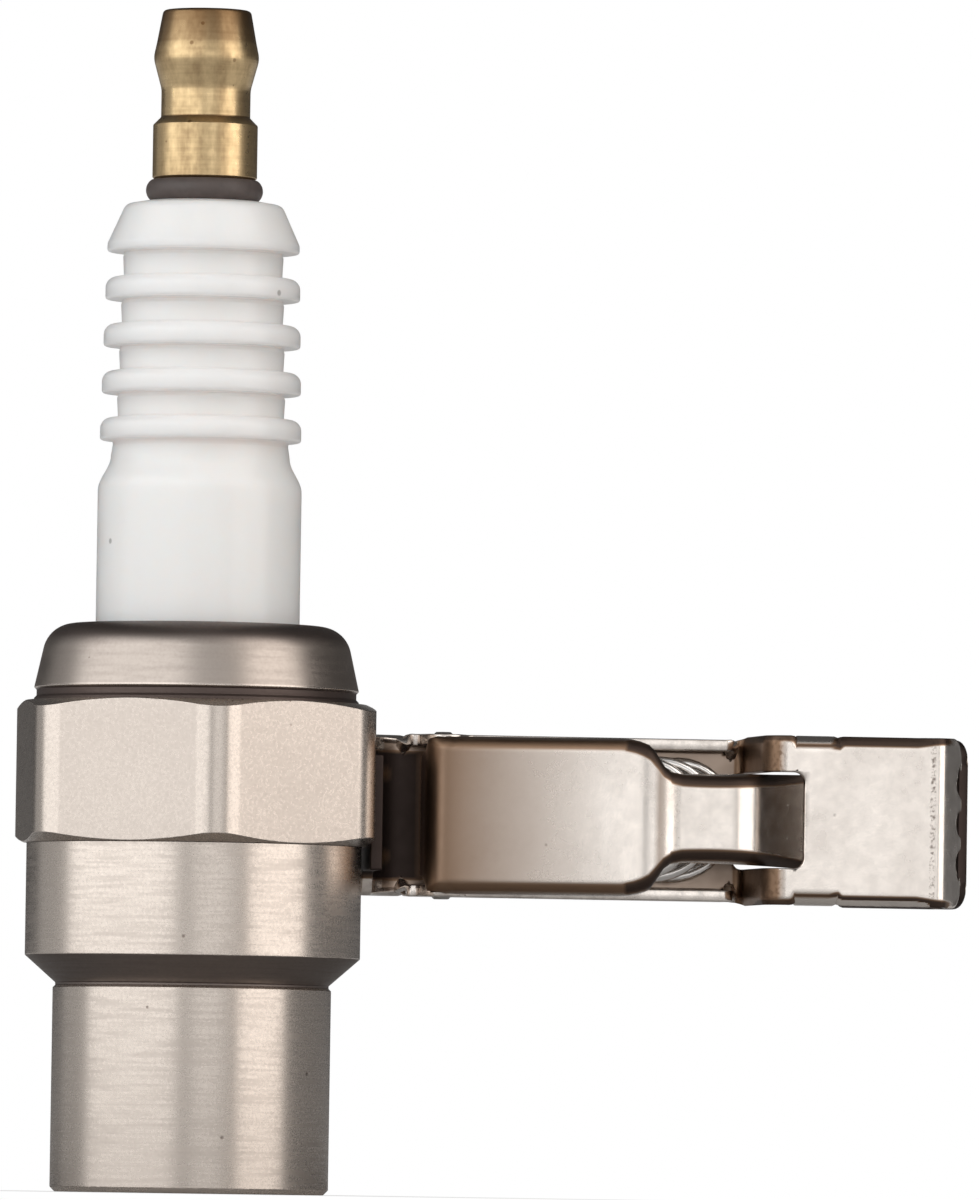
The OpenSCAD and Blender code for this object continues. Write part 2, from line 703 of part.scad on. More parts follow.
module slot() {
    length = slot_end - slot_start;
    inner_half = slot_half - slot_round;
    translate([slot_start, -web_back - overshoot, clip_z])
        rotate([-90, 0, 0])
            linear_extrude(2 * (web_back + overshoot)) {
                translate([0, -inner_half]) square([length, 2 * inner_half]);
                translate([slot_round, -slot_half]) square([length - 2 * slot_round, 2 * slot_half]);
                for (x = [slot_round, length - slot_round])
                    for (y = [-inner_half, inner_half])
                        translate([x, y]) circle(r = slot_round);
            }
}

module teeth_gaps() {
    gap_count = floor(jaw_half / tooth_pitch);
    for (k = [-gap_count + 1:gap_count - 1])
        translate([front_tip.x, front_tip.y, clip_z + k * tooth_pitch])
            rotate([0, 0, front_nose - 90])
                rotate([90, 0, 0])
                    rotate([0, 90, 0])
                        cylinder(r = tooth_r, h = 2 * (sheet_t + overshoot), center = true);
}

module base_lever() {
    color(bright_nickel)
        difference() {
            pressed_strip([flat_x + sheet_t / 2, -tab_front], 90, [tab_half, 0, flat_hem], base_rows, -1);
            translate([pin_x, pin_y, clip_z])
                cylinder(d = pin_d + 2 * seat_gap, h = 2 * (base_half + overshoot), center = true);
            slot();
            teeth_gaps();
        }
}

// Thumb lever
eye_mid = eye_r - sheet_t / 2 - 2 * seat_gap;
eye_run = eye_r + eye_gap;
pad_foot = [pin_x - eye_mid, pin_y - eye_run] + turn_shift(pad_bend, -90, -pad_slope);
pad_tip_y = pad_foot.y - (pad_end - pad_foot.x) * tan(pad_slope);
pad_run = (pad_end - pad_foot.x) / cos(pad_slope);
shoulder_foot = [pad_end, pad_tip_y] + turn_shift(pad_knee, -pad_slope, shoulder_slope);
shoulder_drop = turn_shift(pad_knee, shoulder_slope, 0);
shoulder_run = (neck_start - shoulder_drop.x - shoulder_foot.x) / cos(shoulder_slope);
shoulder_half = (pad_half + neck_half) / 2;
neck_y = shoulder_foot.y + shoulder_run * sin(shoulder_slope) + shoulder_drop.y;
back_y = jaw_back - sheet_t / 2;
tongue_run = (back_y - neck_y - 2 * tongue_bend * (1 - cos(tongue_slope))) / sin(tongue_slope);
back_x = neck_end + 2 * tongue_bend * sin(tongue_slope) + tongue_run * cos(tongue_slope);
back_lip = lip_run(back_y, back_nose);
spread_half = (neck_half + jaw_half) / 2;
spread_run = corner_r;

thumb_rows = concat(
    [[eye_run, 0, 0, [eye_half, 0, flat_hem]]],
    [[0, 90 - pad_slope, pad_bend, [pad_half, first_roll, flat_hem]]],
    [[pad_corner, 0, 0, [pad_half, 90, hem_for(pad_wall)]]],
    [[pad_run - pad_corner, 0, 0, [pad_half, 90, hem_for(pad_wall)]]],
    [[0, pad_slope + shoulder_slope, pad_knee, [shoulder_half, 90, hem_for(pad_wall)]]],
    [[shoulder_run, 0, 0, [neck_half, 90, hem_for(neck_wall)]]],
    [[0, -shoulder_slope, pad_knee, [neck_half, 90, hem_for(neck_wall)]]],
    [[neck_end - neck_start, tongue_slope, tongue_bend, [neck_half, tongue_roll, flat_hem]]],
    [[tongue_run, 0, 0, [neck_half, jaw_roll, flat_hem]]],
    [[0, -tongue_slope, tongue_bend, [spread_half, 0, flat_hem]]],
    [[spread_run, 0, 0, [jaw_half, -jaw_roll, flat_hem]]],
    [[nose_x - back_x - spread_run, -back_nose, nose_bend, [jaw_half, -jaw_roll, flat_hem]]],
    [[back_lip - corner_r, 0, 0, [jaw_half, 0, flat_hem]]],
    rounded_end
);

module thumb_lever() {
    color(bright_nickel)
        difference() {
            union() {
                pressed_strip([pin_x - eye_mid, pin_y], -90, [eye_half, 0, flat_hem], thumb_rows, 1);
                translate([pin_x, pin_y, clip_z])
                    cylinder(r = eye_r, h = 2 * eye_half, center = true);
            }
            translate([pin_x, pin_y, clip_z])
                cylinder(d = pin_d + 2 * pin_gap, h = 2 * (eye_half + overshoot), center = true);
        }
}

module hinge_pin() {
    half = base_half + pin_head;
    color(steel)
        translate([pin_x, pin_y, clip_z])
            rotate_extrude()
                polygon([
                    [0, -half], [pin_d / 2 - pin_head, -half], [pin_d / 2, pin_head - half],
                    [pin_d / 2, half - pin_head], [pin_d / 2 - pin_head, half], [0, half]
                ]);
}

// Spring: one unbroken wire whose turns lean from the thumb pad to the web

wire_sides = 6;
rings_per_turn = 8;
coil_rings = coil_turns * rings_per_turn;
coil_start = 180;
function pad_inner_y(x) = pad_foot.y - (x - pad_foot.x) * tan(pad_slope) + sheet_t / 2 / cos(pad_slope);
coil_front = [coil_pad_x, pad_inner_y(coil_pad_x) + wire_d / 2 + coil_gap];
coil_rear = [coil_web_x, web_back - sheet_t - wire_d / 2 - seat_gap];

// Middle of the wire at t from 0 on the thumb pad to 1 on the web
function coil_point(t) =
    let (centre = mix(coil_front, coil_rear, t), tilt = mix(-pad_slope, 0, t))
    let (a = coil_start + 360 * coil_turns * t)
    let (xy = centre + coil_r * cos(a) * along(tilt))
    [xy.x, xy.y, clip_z + coil_r * sin(a)];

coil_inner = [for (k = [0:coil_rings]) coil_point(k / coil_rings)];
function unit(v) = v / norm(v);
coil_line = concat(
    [coil_inner[0] + wire_d * unit(coil_inner[0] - coil_inner[1])],
    coil_inner,
    [coil_inner[coil_rings] + wire_d * unit(coil_inner[coil_rings] - coil_inner[coil_rings - 1])]
);

// Ring of points round the wire at point k, held square to the wire's run
function wire_ring(k) =
    let (n = len(coil_line) - 1, run = unit(coil_line[min(k + 1, n)] - coil_line[max(k - 1, 0)]))
    let (across = unit(cross(run, [0, 1, 0])), over = cross(across, run))
    [for (s = [0:wire_sides - 1]) let (a = 360 * s / wire_sides)
        coil_line[k] + wire_d / 2 * (cos(a) * across + sin(a) * over)];

// Least gap between turns, measured between points more than half a turn apart
coil_least_gap = min([for (i = [0:len(coil_line) - 1])
    for (k = [i + rings_per_turn / 2:1:len(coil_line) - 1]) norm(coil_line[i] - coil_line[k])]) - wire_d;
echo(coil_least_gap = coil_least_gap);

module clip_spring() {
    n = len(coil_line);
    points = [for (k = [0:n - 1]) each wire_ring(k)];
    skin = [for (k = [0:n - 2]) for (s = [0:wire_sides - 1])
        let (a = k * wire_sides + s, b = k * wire_sides + (s + 1) % wire_sides)
        each [[a, b, a + wire_sides], [b, b + wire_sides, a + wire_sides]]];
    start = [for (s = [1:wire_sides - 2]) [0, s + 1, s]];
    shift = (n - 1) * wire_sides;
    finish = [for (s = [1:wire_sides - 2]) [shift, shift + s, shift + s + 1]];
    color(steel)
        polyhedron(points, concat(skin, start, finish));
}

shell();
insulator();
terminal_nut();
terminal_stud();
o_ring();
glass_seal();
centre_electrode();
electrode_core();
upper_packing_ring();
talc_packing();
lower_packing_ring();
seat_washer();
base_lever();
thumb_lever();
clip_spring();
hinge_pin();
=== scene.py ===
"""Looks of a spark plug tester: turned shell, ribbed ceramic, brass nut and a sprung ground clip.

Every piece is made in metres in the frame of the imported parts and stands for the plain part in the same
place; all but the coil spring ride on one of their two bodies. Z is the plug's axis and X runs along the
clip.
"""
import json
import math

import bmesh
import bpy
from bpy.props import FloatProperty, FloatVectorProperty, IntProperty, PointerProperty
from mathutils import Matrix, Vector


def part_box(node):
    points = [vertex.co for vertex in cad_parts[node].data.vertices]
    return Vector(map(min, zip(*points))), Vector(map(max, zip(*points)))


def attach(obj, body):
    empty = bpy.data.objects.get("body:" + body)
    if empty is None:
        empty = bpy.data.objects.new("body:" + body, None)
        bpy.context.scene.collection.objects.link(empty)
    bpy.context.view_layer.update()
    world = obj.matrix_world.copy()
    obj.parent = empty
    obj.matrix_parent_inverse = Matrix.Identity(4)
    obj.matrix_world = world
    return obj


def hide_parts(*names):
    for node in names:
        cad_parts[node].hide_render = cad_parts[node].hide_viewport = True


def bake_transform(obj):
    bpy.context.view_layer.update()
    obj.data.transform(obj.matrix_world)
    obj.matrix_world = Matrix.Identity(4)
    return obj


bl_info = {
    "name": "Spark plug tester",
    "version": (1, 0, 0),
    "blender": (4, 5, 0),
    "location": "3D View > Sidebar > Tester",
    "description": "Builds the looks of a spark plug tester with a ground clip",
    "category": "Object",
}

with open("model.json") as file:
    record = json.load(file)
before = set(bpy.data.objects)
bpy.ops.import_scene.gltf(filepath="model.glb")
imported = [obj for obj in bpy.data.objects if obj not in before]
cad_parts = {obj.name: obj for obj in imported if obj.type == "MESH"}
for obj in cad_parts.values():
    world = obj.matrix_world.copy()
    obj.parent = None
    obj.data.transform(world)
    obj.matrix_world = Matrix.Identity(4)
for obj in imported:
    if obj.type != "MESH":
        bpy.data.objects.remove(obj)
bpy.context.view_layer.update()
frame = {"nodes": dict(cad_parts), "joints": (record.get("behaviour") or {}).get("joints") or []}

MM = 0.001
GRAIN_DEPTH = 0.006 * MM
TESTER, THUMB = "tester", "thumb"
HINGE = Vector(frame["joints"][0]["pos_m"])
INSULATOR_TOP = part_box("insulator")[1].z
NUT_LOW, NUT_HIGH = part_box("terminal_nut")
RING_LOW, RING_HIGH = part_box("o_ring")
PIN_LOW, PIN_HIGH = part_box("hinge_pin")


def length(name, description, millimetres):
    """A length in metres, given in millimetres."""
    return FloatProperty(name=name, description=description, default=millimetres * MM, unit="LENGTH",
                         precision=5)


def angle(name, description, degrees):
    """An angle in radians, given in degrees."""
    return FloatProperty(name=name, description=description, default=math.radians(degrees), subtype="ANGLE")


def share(name, description, part):
    """A share from 0 to 1."""
    return FloatProperty(name=name, description=description, default=part, min=0.0, max=1.0, subtype="FACTOR")


def colour(name, description, red, green, blue):
    """A linear colour."""
    return FloatVectorProperty(name=name, description=description, default=(red, green, blue),
                               size=3, min=0.0, max=1.0, subtype="COLOR")


class ShellSizes(bpy.types.PropertyGroup):
    """Sizes of the turned shell"""
    barrel_r: length("Barrel radius", "Radius of the smooth barrel", 8.43)
    barrel_len: length("Barrel length", "Length of the barrel up to the tapered seat", 12.5)
    mouth_chamfer: length("Mouth chamfer", "Chamfer at the barrel's mouth", 0.3)
    bore_r: length("Barrel bore", "Radius of the barrel's bore", 6.6)
    relief: length("Relief", "Depth of the turned reliefs", 0.15)
    body_z: length("Body foot", "Height where the tapered seat meets the body", 14.3)
    body_r: length("Body radius", "Radius of the body below the hexagon", 10.15)
    hex_z: length("Hexagon foot", "Height of the hexagon's lower face", 21.1)
    hex_top: length("Hexagon top", "Height of the hexagon's upper face", 29.7)
    flat_r: length("Hexagon flat", "Distance of the hexagon's flats from the axis", 10.4)
    corner_round: length("Hexagon rounding", "Rounding of the hexagon's corners", 2.6)
    hex_chamfer: length("Hexagon chamfer", "Drop of the chamfer at the hexagon's corners", 0.45)
    collar_z: length("Collar foot", "Height of the crimped collar's lower edge", 30.35)
    collar_r: length("Collar radius", "Radius of the crimped collar at its foot", 9.84)
    collar_lean: angle("Collar lean", "Lean of the collar's side", 12.5)
    collar_top: length("Collar top", "Height of the collar's rolled top", 34.4)
    roll_r: length("Roll radius", "Radius over which the collar is rolled inwards", 1.9)
    lip_r: length("Lip bore", "Radius of the hole in the rolled lip", 6.26)
    lip_t: length("Lip thickness", "Thickness of the rolled lip", 1.0)
    cavity_r: length("Cavity radius", "Radius of the cavity round the insulator's flange", 7.95)
    ledge_r: length("Ledge bore", "Radius of the inner ledge's bore", 5.5)
    ledge_z: length("Ledge foot", "Height of the inner ledge's lower edge", 16.4)
    ledge_top: length("Ledge top", "Height of the inner ledge's upper edge", 17.8)
    cavity_z: length("Cavity foot", "Height where the cavity reaches its full radius", 20.6)
    edge: length("Edge rounding", "Rounding of the turned edges", 0.08)


class InsulatorSizes(bpy.types.PropertyGroup):
    """Sizes of the ribbed insulator"""
    smooth_r: length("Smooth radius", "Radius of the smooth part", 6.18)
    smooth_top: length("Smooth top", "Height of the smooth part's shoulder", 42.5)
    waist_r: length("Waist radius", "Radius of the waist above the smooth part", 5.42)
    waist_z: length("Waist height", "Height of the waist", 44.6)
    rib_count: IntProperty(name="Ribs", description="Number of ribs", default=4, min=1)
    rib_z: length("First rib", "Height of the lowest rib's underside", 45.55)
    rib_pitch: length("Rib pitch", "Spacing of the ribs", 2.85)
    rib_thick: length("Rib thickness", "Thickness of a rib", 1.36)
    rib_r: length("Rib radius", "Radius of the lowest rib", 6.1)
    rib_taper: length("Rib taper", "Radius lost from one rib to the next", 0.065)
    core_r: length("Core radius", "Radius of the core at the lowest rib", 5.1)
    core_top_r: length("Core top radius", "Radius of the core at the top skirt", 4.87)
    core_flare: length("Core flare", "Radius gained by the core under each rib", 0.14)
    rib_brow: length("Rib brow", "Rounding of the ribs' upper edges", 0.65)
    rib_round: length("Rib edge", "Rounding of the ribs' lower edges", 0.2)
    skirt_r: length("Skirt radius", "Radius of the top skirt's lower edge", 5.83)
    skirt_h: length("Skirt height", "Height of the top skirt", 3.1)
    skirt_rim: length("Skirt rim", "Height of the skirt's upright rim", 0.5)
    top_r: length("Top radius", "Radius of the top face", 4.75)
    top_fall: length("Top fall", "Fall of the top face to its edge", 0.2)
    flange_r: length("Flange radius", "Radius of the flange inside the shell", 7.85)
    flange_top: length("Flange top", "Height of the flange's upper shoulder", 29.4)
    flange_z: length("Flange foot", "Height of the flange's lower edge", 21.27)
    nose_r: length("Nose radius", "Radius of the nose at the ledge", 5.1)
    nose_z: length("Nose foot", "Height where the nose begins to taper", 16.4)
    nose_top: length("Nose top", "Height of the nose's upper end", 18.47)
    tip_r: length("Tip radius", "Radius of the nose's tip", 3.0)
    tip_z: length("Tip", "Height of the nose's tip", 7.2)
    stud_r: length("Stud bore", "Radius of the bore for the stud", 2.02)
    electrode_r: length("Electrode bore", "Radius of the bore for the electrode", 1.27)
    seat_z: length("Electrode seat", "Height of the seat under the electrode's head", 23.5)
    edge: length("Edge rounding", "Rounding of the glazed edges", 0.3)


class TerminalSizes(bpy.types.PropertyGroup):
    """Sizes of the terminal nut and the rubber ring"""
    collar_r: length("Collar radius", "Radius of the nut's collar", 3.175)
    collar_h: length("Collar height", "Height of the nut's collar", 3.3)
    chamfer: length("Collar chamfer", "Height of the chamfer from collar to neck", 0.48)
    neck_r: length("Neck radius", "Radius of the nut's neck", 2.705)
    neck_h: length("Neck height", "Height of the nut's neck", 1.7)
    bulge_r: length("Bulge radius", "Radius of the nut's bulge before it is rounded", 3.22)
    bulge_rise: length("Bulge rise", "Height of the bulge above the neck", 1.9)
    bulge_round: length("Bulge rounding", "Rounding of the nut's bulge", 5.0)
    neck_round: length("Neck rounding", "Rounding from the neck to the bulge", 1.6)
    top_r: length("Top radius", "Radius of the nut's top", 2.66)
    stain_h: length("Stained height", "Height of the stained zone at the nut's top", 2.0)
    hole_r: length("Hole radius", "Radius of the hole for the stud", 2.02)
    hole_h: length("Hole depth", "Depth of the hole for the stud", 5.62)
    edge: length("Edge rounding", "Rounding of the nut's edges", 0.12)
    crown: length("Crown rounding", "Rounding of the nut's top", 0.3)


class ClipSizes(bpy.types.PropertyGroup):
    """Sizes of the two pressed levers"""
    sheet_t: length("Sheet", "Thickness of the pressed sheet", 0.7)
    edge_r: length("Edge roll", "Middle radius of the pressed edges", 0.5)
    shear: length("Sheared edge", "Rounding of the sheared edges", 0.09)
    flat_x: length("Tab place", "Distance of the hexagon's flat from the axis", 10.4)
    tab_half: length("Tab half", "Half height of the tab", 3.5)
    tab_front: length("Tab front", "Reach of the tab in front of the axis", 3.0)
    web_back: length("Web back", "Outer face of the web behind the axis", 4.5)
    # Painted glints: two lighter spots left in the painted shade of the base lever's hollow.
    weld_x: length("Glint place", "Distance of the weld marks from the hexagon's flat", 1.5)
    weld_z: length("Glint height", "Height of the weld marks above and below the clip's middle", 2.5)
    weld_r: length("Glint radius", "Radius of the weld marks", 0.6)
    base_half: length("Base half", "Half height of the base lever", 4.94)
    base_wall: length("Base wall", "Depth of the base lever's side walls", 2.5)
    base_wall_end: length("Wall end", "End of the side walls from the axis", 33.2)
    ear_r: length("Ear radius", "Radius of the ears round the pin", 1.5)
    eye_half: length("Eye half", "Half height of the rolled eye", 3.7)
    eye_r: length("Eye radius", "Outer radius of the rolled eye", 1.35)
    eye_mid: length("Eye middle", "Middle radius of the rolled eye's sheet", 0.96)
    eye_gap: length("Eye gap", "Room between the eye and the web", 0.2)
    pad_half: length("Pad half", "Half height of the thumb pad", 4.79)
    pad_wall: length("Pad wall", "Depth of the pad's rolled edges", 1.7)
    pad_end: length("Pad end", "End of the thumb pad from the axis", 27.0)
    neck_start: length("Neck start", "Start of the neck from the axis", 29.4)
    neck_end: length("Neck end", "End of the neck from the axis", 32.4)
    neck_half: length("Neck half", "Half height of the neck", 2.7)
    tongue_half: length("Tongue half", "Half height of the tongue at its end", 2.92)
    neck_wall: length("Neck wall", "Depth of the neck's rolled edges", 1.55)
    slot_start: length("Slot start", "Start of the slot from the axis", 33.6)
    slot_end: length("Slot end", "End of the slot in the front jaw from the axis", 36.95)
    slot_half: length("Slot half", "Half height of the slot", 2.92)
    slot_round: length("Slot corner", "Rounding of the slot's corners", 0.6)
    jaw_front: length("Jaw front", "Front face of the front jaw before the axis", 2.9)
    jaw_back: length("Jaw back", "Back face of the back jaw behind the axis", 3.5)
    jaw_half: length("Jaw half", "Half height of the jaws", 5.18)
    jaw_ear_end: length("Jaw ear end", "End of the front jaw's side ears from the axis", 38.9)
    nose_x: length("Nose", "Start of the back jaw's nose bend from the axis", 45.47)
    front_nose_x: length("Front nose start", "Start of the front jaw's nose bend from the axis", 45.1)
    grain_w: length("Grain width", "Half width of the grainy line before the front jaw's nose", 0.25)
    jaw_gap: length("Jaw gap", "Gap between the closed jaws", 0.36)
    tooth_pitch: length("Tooth pitch", "Spacing of the teeth", 2.42)
    tooth_r: length("Tooth gap", "Radius of the gaps between the teeth", 0.8)
    tab_bend: length("Tab bend", "Middle radius of the bend from tab to web", 2.2)
    rise_bend: length("Rise bend", "Middle radius of the bend where the strips leave the web", 0.8)
    jaw_bend: length("Jaw bend", "Middle radius of the bend where the strips meet the jaw", 1.2)
    pad_bend: length("Pad bend", "Middle radius of the bend at the pad's foot", 1.0)
    pad_corner: length("Pad corner", "Length over which the pad's edges roll in", 0.8)
    pad_ease: share("Pad ease", "Share of the pad over which its end narrows", 0.12)
    pad_knee: length("Pad knee", "Middle radius of the bends beside the shoulder", 2.9)
    tongue_bend: length("Tongue bend", "Middle radius of the bend from neck to tongue", 2.3)
    nose_bend: length("Nose bend", "Middle radius of the nose bends", 0.5)
    corner_r: length("Jaw corner", "Radius of the jaws' free corners", 1.2)
    wall_fade: length("Wall fade", "Length over which a wall fades into flat sheet", 0.5)
    flat_hem: length("Hem", "Straight hem of an edge that is hardly rolled", 0.3)
    ear_hem: length("Ear hem", "Straight hem of the jaw's side ears", 0.45)
    pad_slope: angle("Pad slope", "Slope of the thumb pad", 13)
    pad_dish: angle("Pad dish", "Turn of the thumb pad along its length", 5)
    shoulder_slope: angle("Shoulder slope", "Fall of the shoulder after the pad", 15)
    tongue_slope: angle("Tongue slope", "Slope of the tongue", 49)
    rise_slope: angle("Rise slope", "Slope of the strips that rise to the jaw", 86)
    front_nose: angle("Front nose", "Turn of the front jaw's nose", 59)
    back_nose: angle("Back nose", "Turn of the back jaw's nose", 62)
    ear_roll: angle("Ear roll", "Roll of the front jaw's side ears", 80)
    rise_roll: angle("Rise roll", "Roll of the rising strips' edges", 20)
    front_roll: angle("Front roll", "Roll of the front jaw's edges past its ears", 35)
    jaw_roll: angle("Jaw roll", "Roll of the jaws' edges at their noses", 12)
    first_roll: angle("First roll", "Roll of an edge where a wall begins", 25)
    tongue_roll: angle("Tongue roll", "Roll of the tongue's edges after the neck", 60)
    eye_turn: angle("Eye turn", "Turn of the rolled eye round the pin", 280)


class SpringSizes(bpy.types.PropertyGroup):
    """Sizes of the coil spring"""
    wire_r: length("Wire radius", "Radius of the spring's wire", 0.35)
    coil_r: length("Coil radius", "Middle radius of the coil", 3.5)
    turns: FloatProperty(name="Turns", description="Number of turns", default=5.0, min=1.0)
    web_x: length("Web seat", "Centre of the coil on the web from the axis", 30.4)
    pad_x: length("Pad seat", "Centre of the coil on the pad from the axis", 24.2)
    pad_gap: length("Pad gap", "Room between the coil and the pad", 0.3)
    web_gap: length("Web gap", "Room between the coil and the web", 0.02)


class Finishes(bpy.types.PropertyGroup):
    """Colours of the finishes"""
    shell_nickel: colour("Shell nickel", "Satin nickel of the turned shell", 0.66, 0.59, 0.53)
    clip_nickel: colour("Clip nickel", "Bright nickel of the pressed clip", 0.87, 0.805, 0.745)
    tarnish: colour("Tarnish", "Brown film in hollows and along edges", 0.16, 0.12, 0.1)
    # Painted shade: the shell's grooves, seat, hexagon and collar blend towards this dark colour.
    soot: colour("Soot", "Dark film in the shell's grooves", 0.08, 0.058, 0.052)
    brown: colour("Brown film", "Thin brown film on the clip", 0.26, 0.165, 0.105)
    # Painted shade: the levers' hollows, strips and rolled edges blend towards this brown.
    recess: colour("Recess", "Dark film in the clip's hollow", 0.05, 0.037, 0.033)
    # Painted shade: the deepest shade on the levers blends towards this near-black.
    ceramic: colour("Ceramic", "Glazed ceramic", 0.95, 0.925, 0.91)
    brass: colour("Brass", "Turned brass", 0.72, 0.54, 0.3)
    # Real stains on the brass; also painted shadow on the nut's chamfer and painted shade in its corners.
    brass_stain: colour("Brass stain", "Brown stains on the brass", 0.15, 0.08, 0.035)
    rubber: colour("Rubber", "Rubber ring", 0.07, 0.055, 0.05)
    steel: colour("Steel", "Plain steel", 0.5, 0.48, 0.46)
    wire: colour("Spring wire", "Bright plated spring wire", 0.86, 0.83, 0.8)
    copper: colour("Copper", "Copper", 0.72, 0.36, 0.22)
    mineral: colour("Mineral", "Pressed mineral and glass", 0.62, 0.6, 0.56)
    floor: colour("Floor", "Plain pale floor", 0.5, 0.5, 0.5)


class Films(bpy.types.PropertyGroup):
    """Shares of painted shade on the metal pieces, a darker top on the nut and painted glints in the lever's
    shade
    """
    # Each film share below is painted shade, save the nut's darker top; the glint marks are painted
    # highlights.
    seat: share("Seat", "Film on the shell's tapered seat", 0.85)
    groove: share("Groove", "Film in the groove under the collar", 1.0)
    flat: share("Flats", "Film on the hexagon's flats", 0.26)
    corner: share("Corners", "Film on the hexagon's corners", 0.15)
    collar_foot: share("Collar foot", "Film at the collar's foot", 0.05)
    collar: share("Collar", "Film on the collar's side", 0.42)
    roll: share("Roll", "Film that the collar's roll has beyond its side", 0.5)
    nut_chamfer: share("Nut chamfer", "Film on the nut's chamfer", 0.8)
    nut_top: share("Nut top", "Film on the nut's stained top", 0.95)
    edge: share("Rolled edge", "Film along the levers' rolled edges", 0.95)
    low_edge: share("Lower edge", "Part of the edge film that the front jaw's lower edge has", 0.1)
    weld: share("Glint mark", "Film that the weld marks lack", 0.45)
    rise: share("Rise", "Film on the strips that rise to the jaw", 0.6)
    ear: share("Jaw ear", "Film on the front jaw's side ears", 0.9)
    web: share("Web", "Film on the web's inner face", 0.45)
    pad: share("Pad", "Film at the foot of the thumb pad", 0.55)
    pad_edge: share("Pad edge", "Part of the edge film that the pad's edges have", 0.62)
    pad_end: share("Pad end", "Film in the band behind the pad's end", 0.4)
    tongue: share("Tongue", "Film on the tongue", 0.1)


class StageSizes(bpy.types.PropertyGroup):
    """Camera and studio"""
    azimuth: angle("Azimuth", "Direction of the camera round the plug's axis", -8)
    lean: angle("Lean", "Lean of the plug's axis in the picture", 0.87)
    distance: length("Distance", "Distance of the camera from the plug's axis", 950)
    eye: length("Eye height", "Height of the camera above the floor", 0.8)
    foot_px: FloatVectorProperty(name="Foot", size=2, default=(189.0, 1193.0),
                                 description="Place of the barrel's mouth in the picture in pixels")
    picture_px: FloatVectorProperty(name="Picture", size=2, default=(979.0, 1200.0),
                                    description="Width and height of the picture in pixels")
    px_per_mm: FloatProperty(name="Scale", default=16.5,
                             description="Pixels per millimetre at the plug's axis")


def settings():
    """The scene's own sizes, colours and shades."""
    return bpy.context.scene.tester


# Turned pieces

def soften(corners, closed=False, steps=5):
    """Outline (r, z, edge) of rounded corners (r, z, rounding); edge is 1 on ridges and -1 in grooves."""
    most, beside = 0.38, 1.25
    outline = []
    for i, (r, z, rounding) in enumerate(corners):
        here = Vector((r, z))
        if rounding == 0 or not (closed or 0 < i < len(corners) - 1):
            outline.append((r, z, 0.0))
            continue
        before = Vector(corners[i - 1][:2]) - here
        after = Vector(corners[(i + 1) % len(corners)][:2]) - here
        reach = min(rounding / math.tan(before.angle(after) / 2), most * before.length, most * after.length)
        ridge = math.copysign(1.0, before.y * after.x - before.x * after.y)
        first, last = (here + side.normalized() * reach for side in (before, after))
        outline.append((*here.lerp(first, beside), 0.0))
        for k in range(steps + 1):
            t = k / steps
            outline.append((*first.lerp(here, t).lerp(here.lerp(last, t), t), ridge))
        outline.append((*here.lerp(last, beside), 0.0))
    return outline


def curve(x, z, wide, high, start, end, steps=12):
    """Corner points along an elliptic arc, with no rounding of their own."""
    turns = (start + (end - start) * k / steps for k in range(steps + 1))
    return [(x + wide * math.cos(t), z + high * math.sin(t), 0) for t in turns]


def turned(outline_at, turns, closed=False):
    """Mesh of an outline carried round the plug's axis; outline_at gives it at an angle."""
    bm = bmesh.new()
    edge = bm.verts.layers.float.new("edge")
    rings = []
    for k in range(turns):
        a = math.tau * (k + 0.5) / turns
        ring = []
        for r, z, ridge in outline_at(a):
            vert = bm.verts.new((r * math.cos(a), r * math.sin(a), z))
            vert[edge] = ridge
            ring.append(vert)
        rings.append(ring)
    rows = len(rings[0])
    for here, beyond in zip(rings, rings[1:] + rings[:1]):
        for i in range(rows if closed else rows - 1):
            k = (i + 1) % rows
            bm.faces.new((here[i], beyond[i], beyond[k], here[k]))
    bmesh.ops.remove_doubles(bm, verts=bm.verts, dist=MM * 1e-4)
    return bm


def piece(name, bm, finish, nodes, body=TESTER):
    """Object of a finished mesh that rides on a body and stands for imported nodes."""
    bm.normal_update()
    mesh = bpy.data.meshes.new(name)
    bm.to_mesh(mesh)
    bm.free()
    mesh.shade_smooth()
    mesh.materials.append(finish)
    obj = bpy.data.objects.new(name, mesh)
    bpy.context.scene.collection.objects.link(obj)
    if body:
        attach(obj, body)
    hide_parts(*nodes)
    return obj


# Pressed sheet

def heading_vector(a):
    """Unit vector along a heading."""
    return Vector((math.cos(a), math.sin(a)))


def left_of(a):
    """Unit vector to the left of a heading."""
    return Vector((-math.sin(a), math.cos(a)))


def turn_shift(radius, a0, a1):
    """Shift along an arc that turns from heading a0 to a1."""
    return math.copysign(radius, a1 - a0) * (left_of(a0) - left_of(a1))


def mix(a, b, t):
    """Value at a share of the way from a to b."""
    return a + (b - a) * t


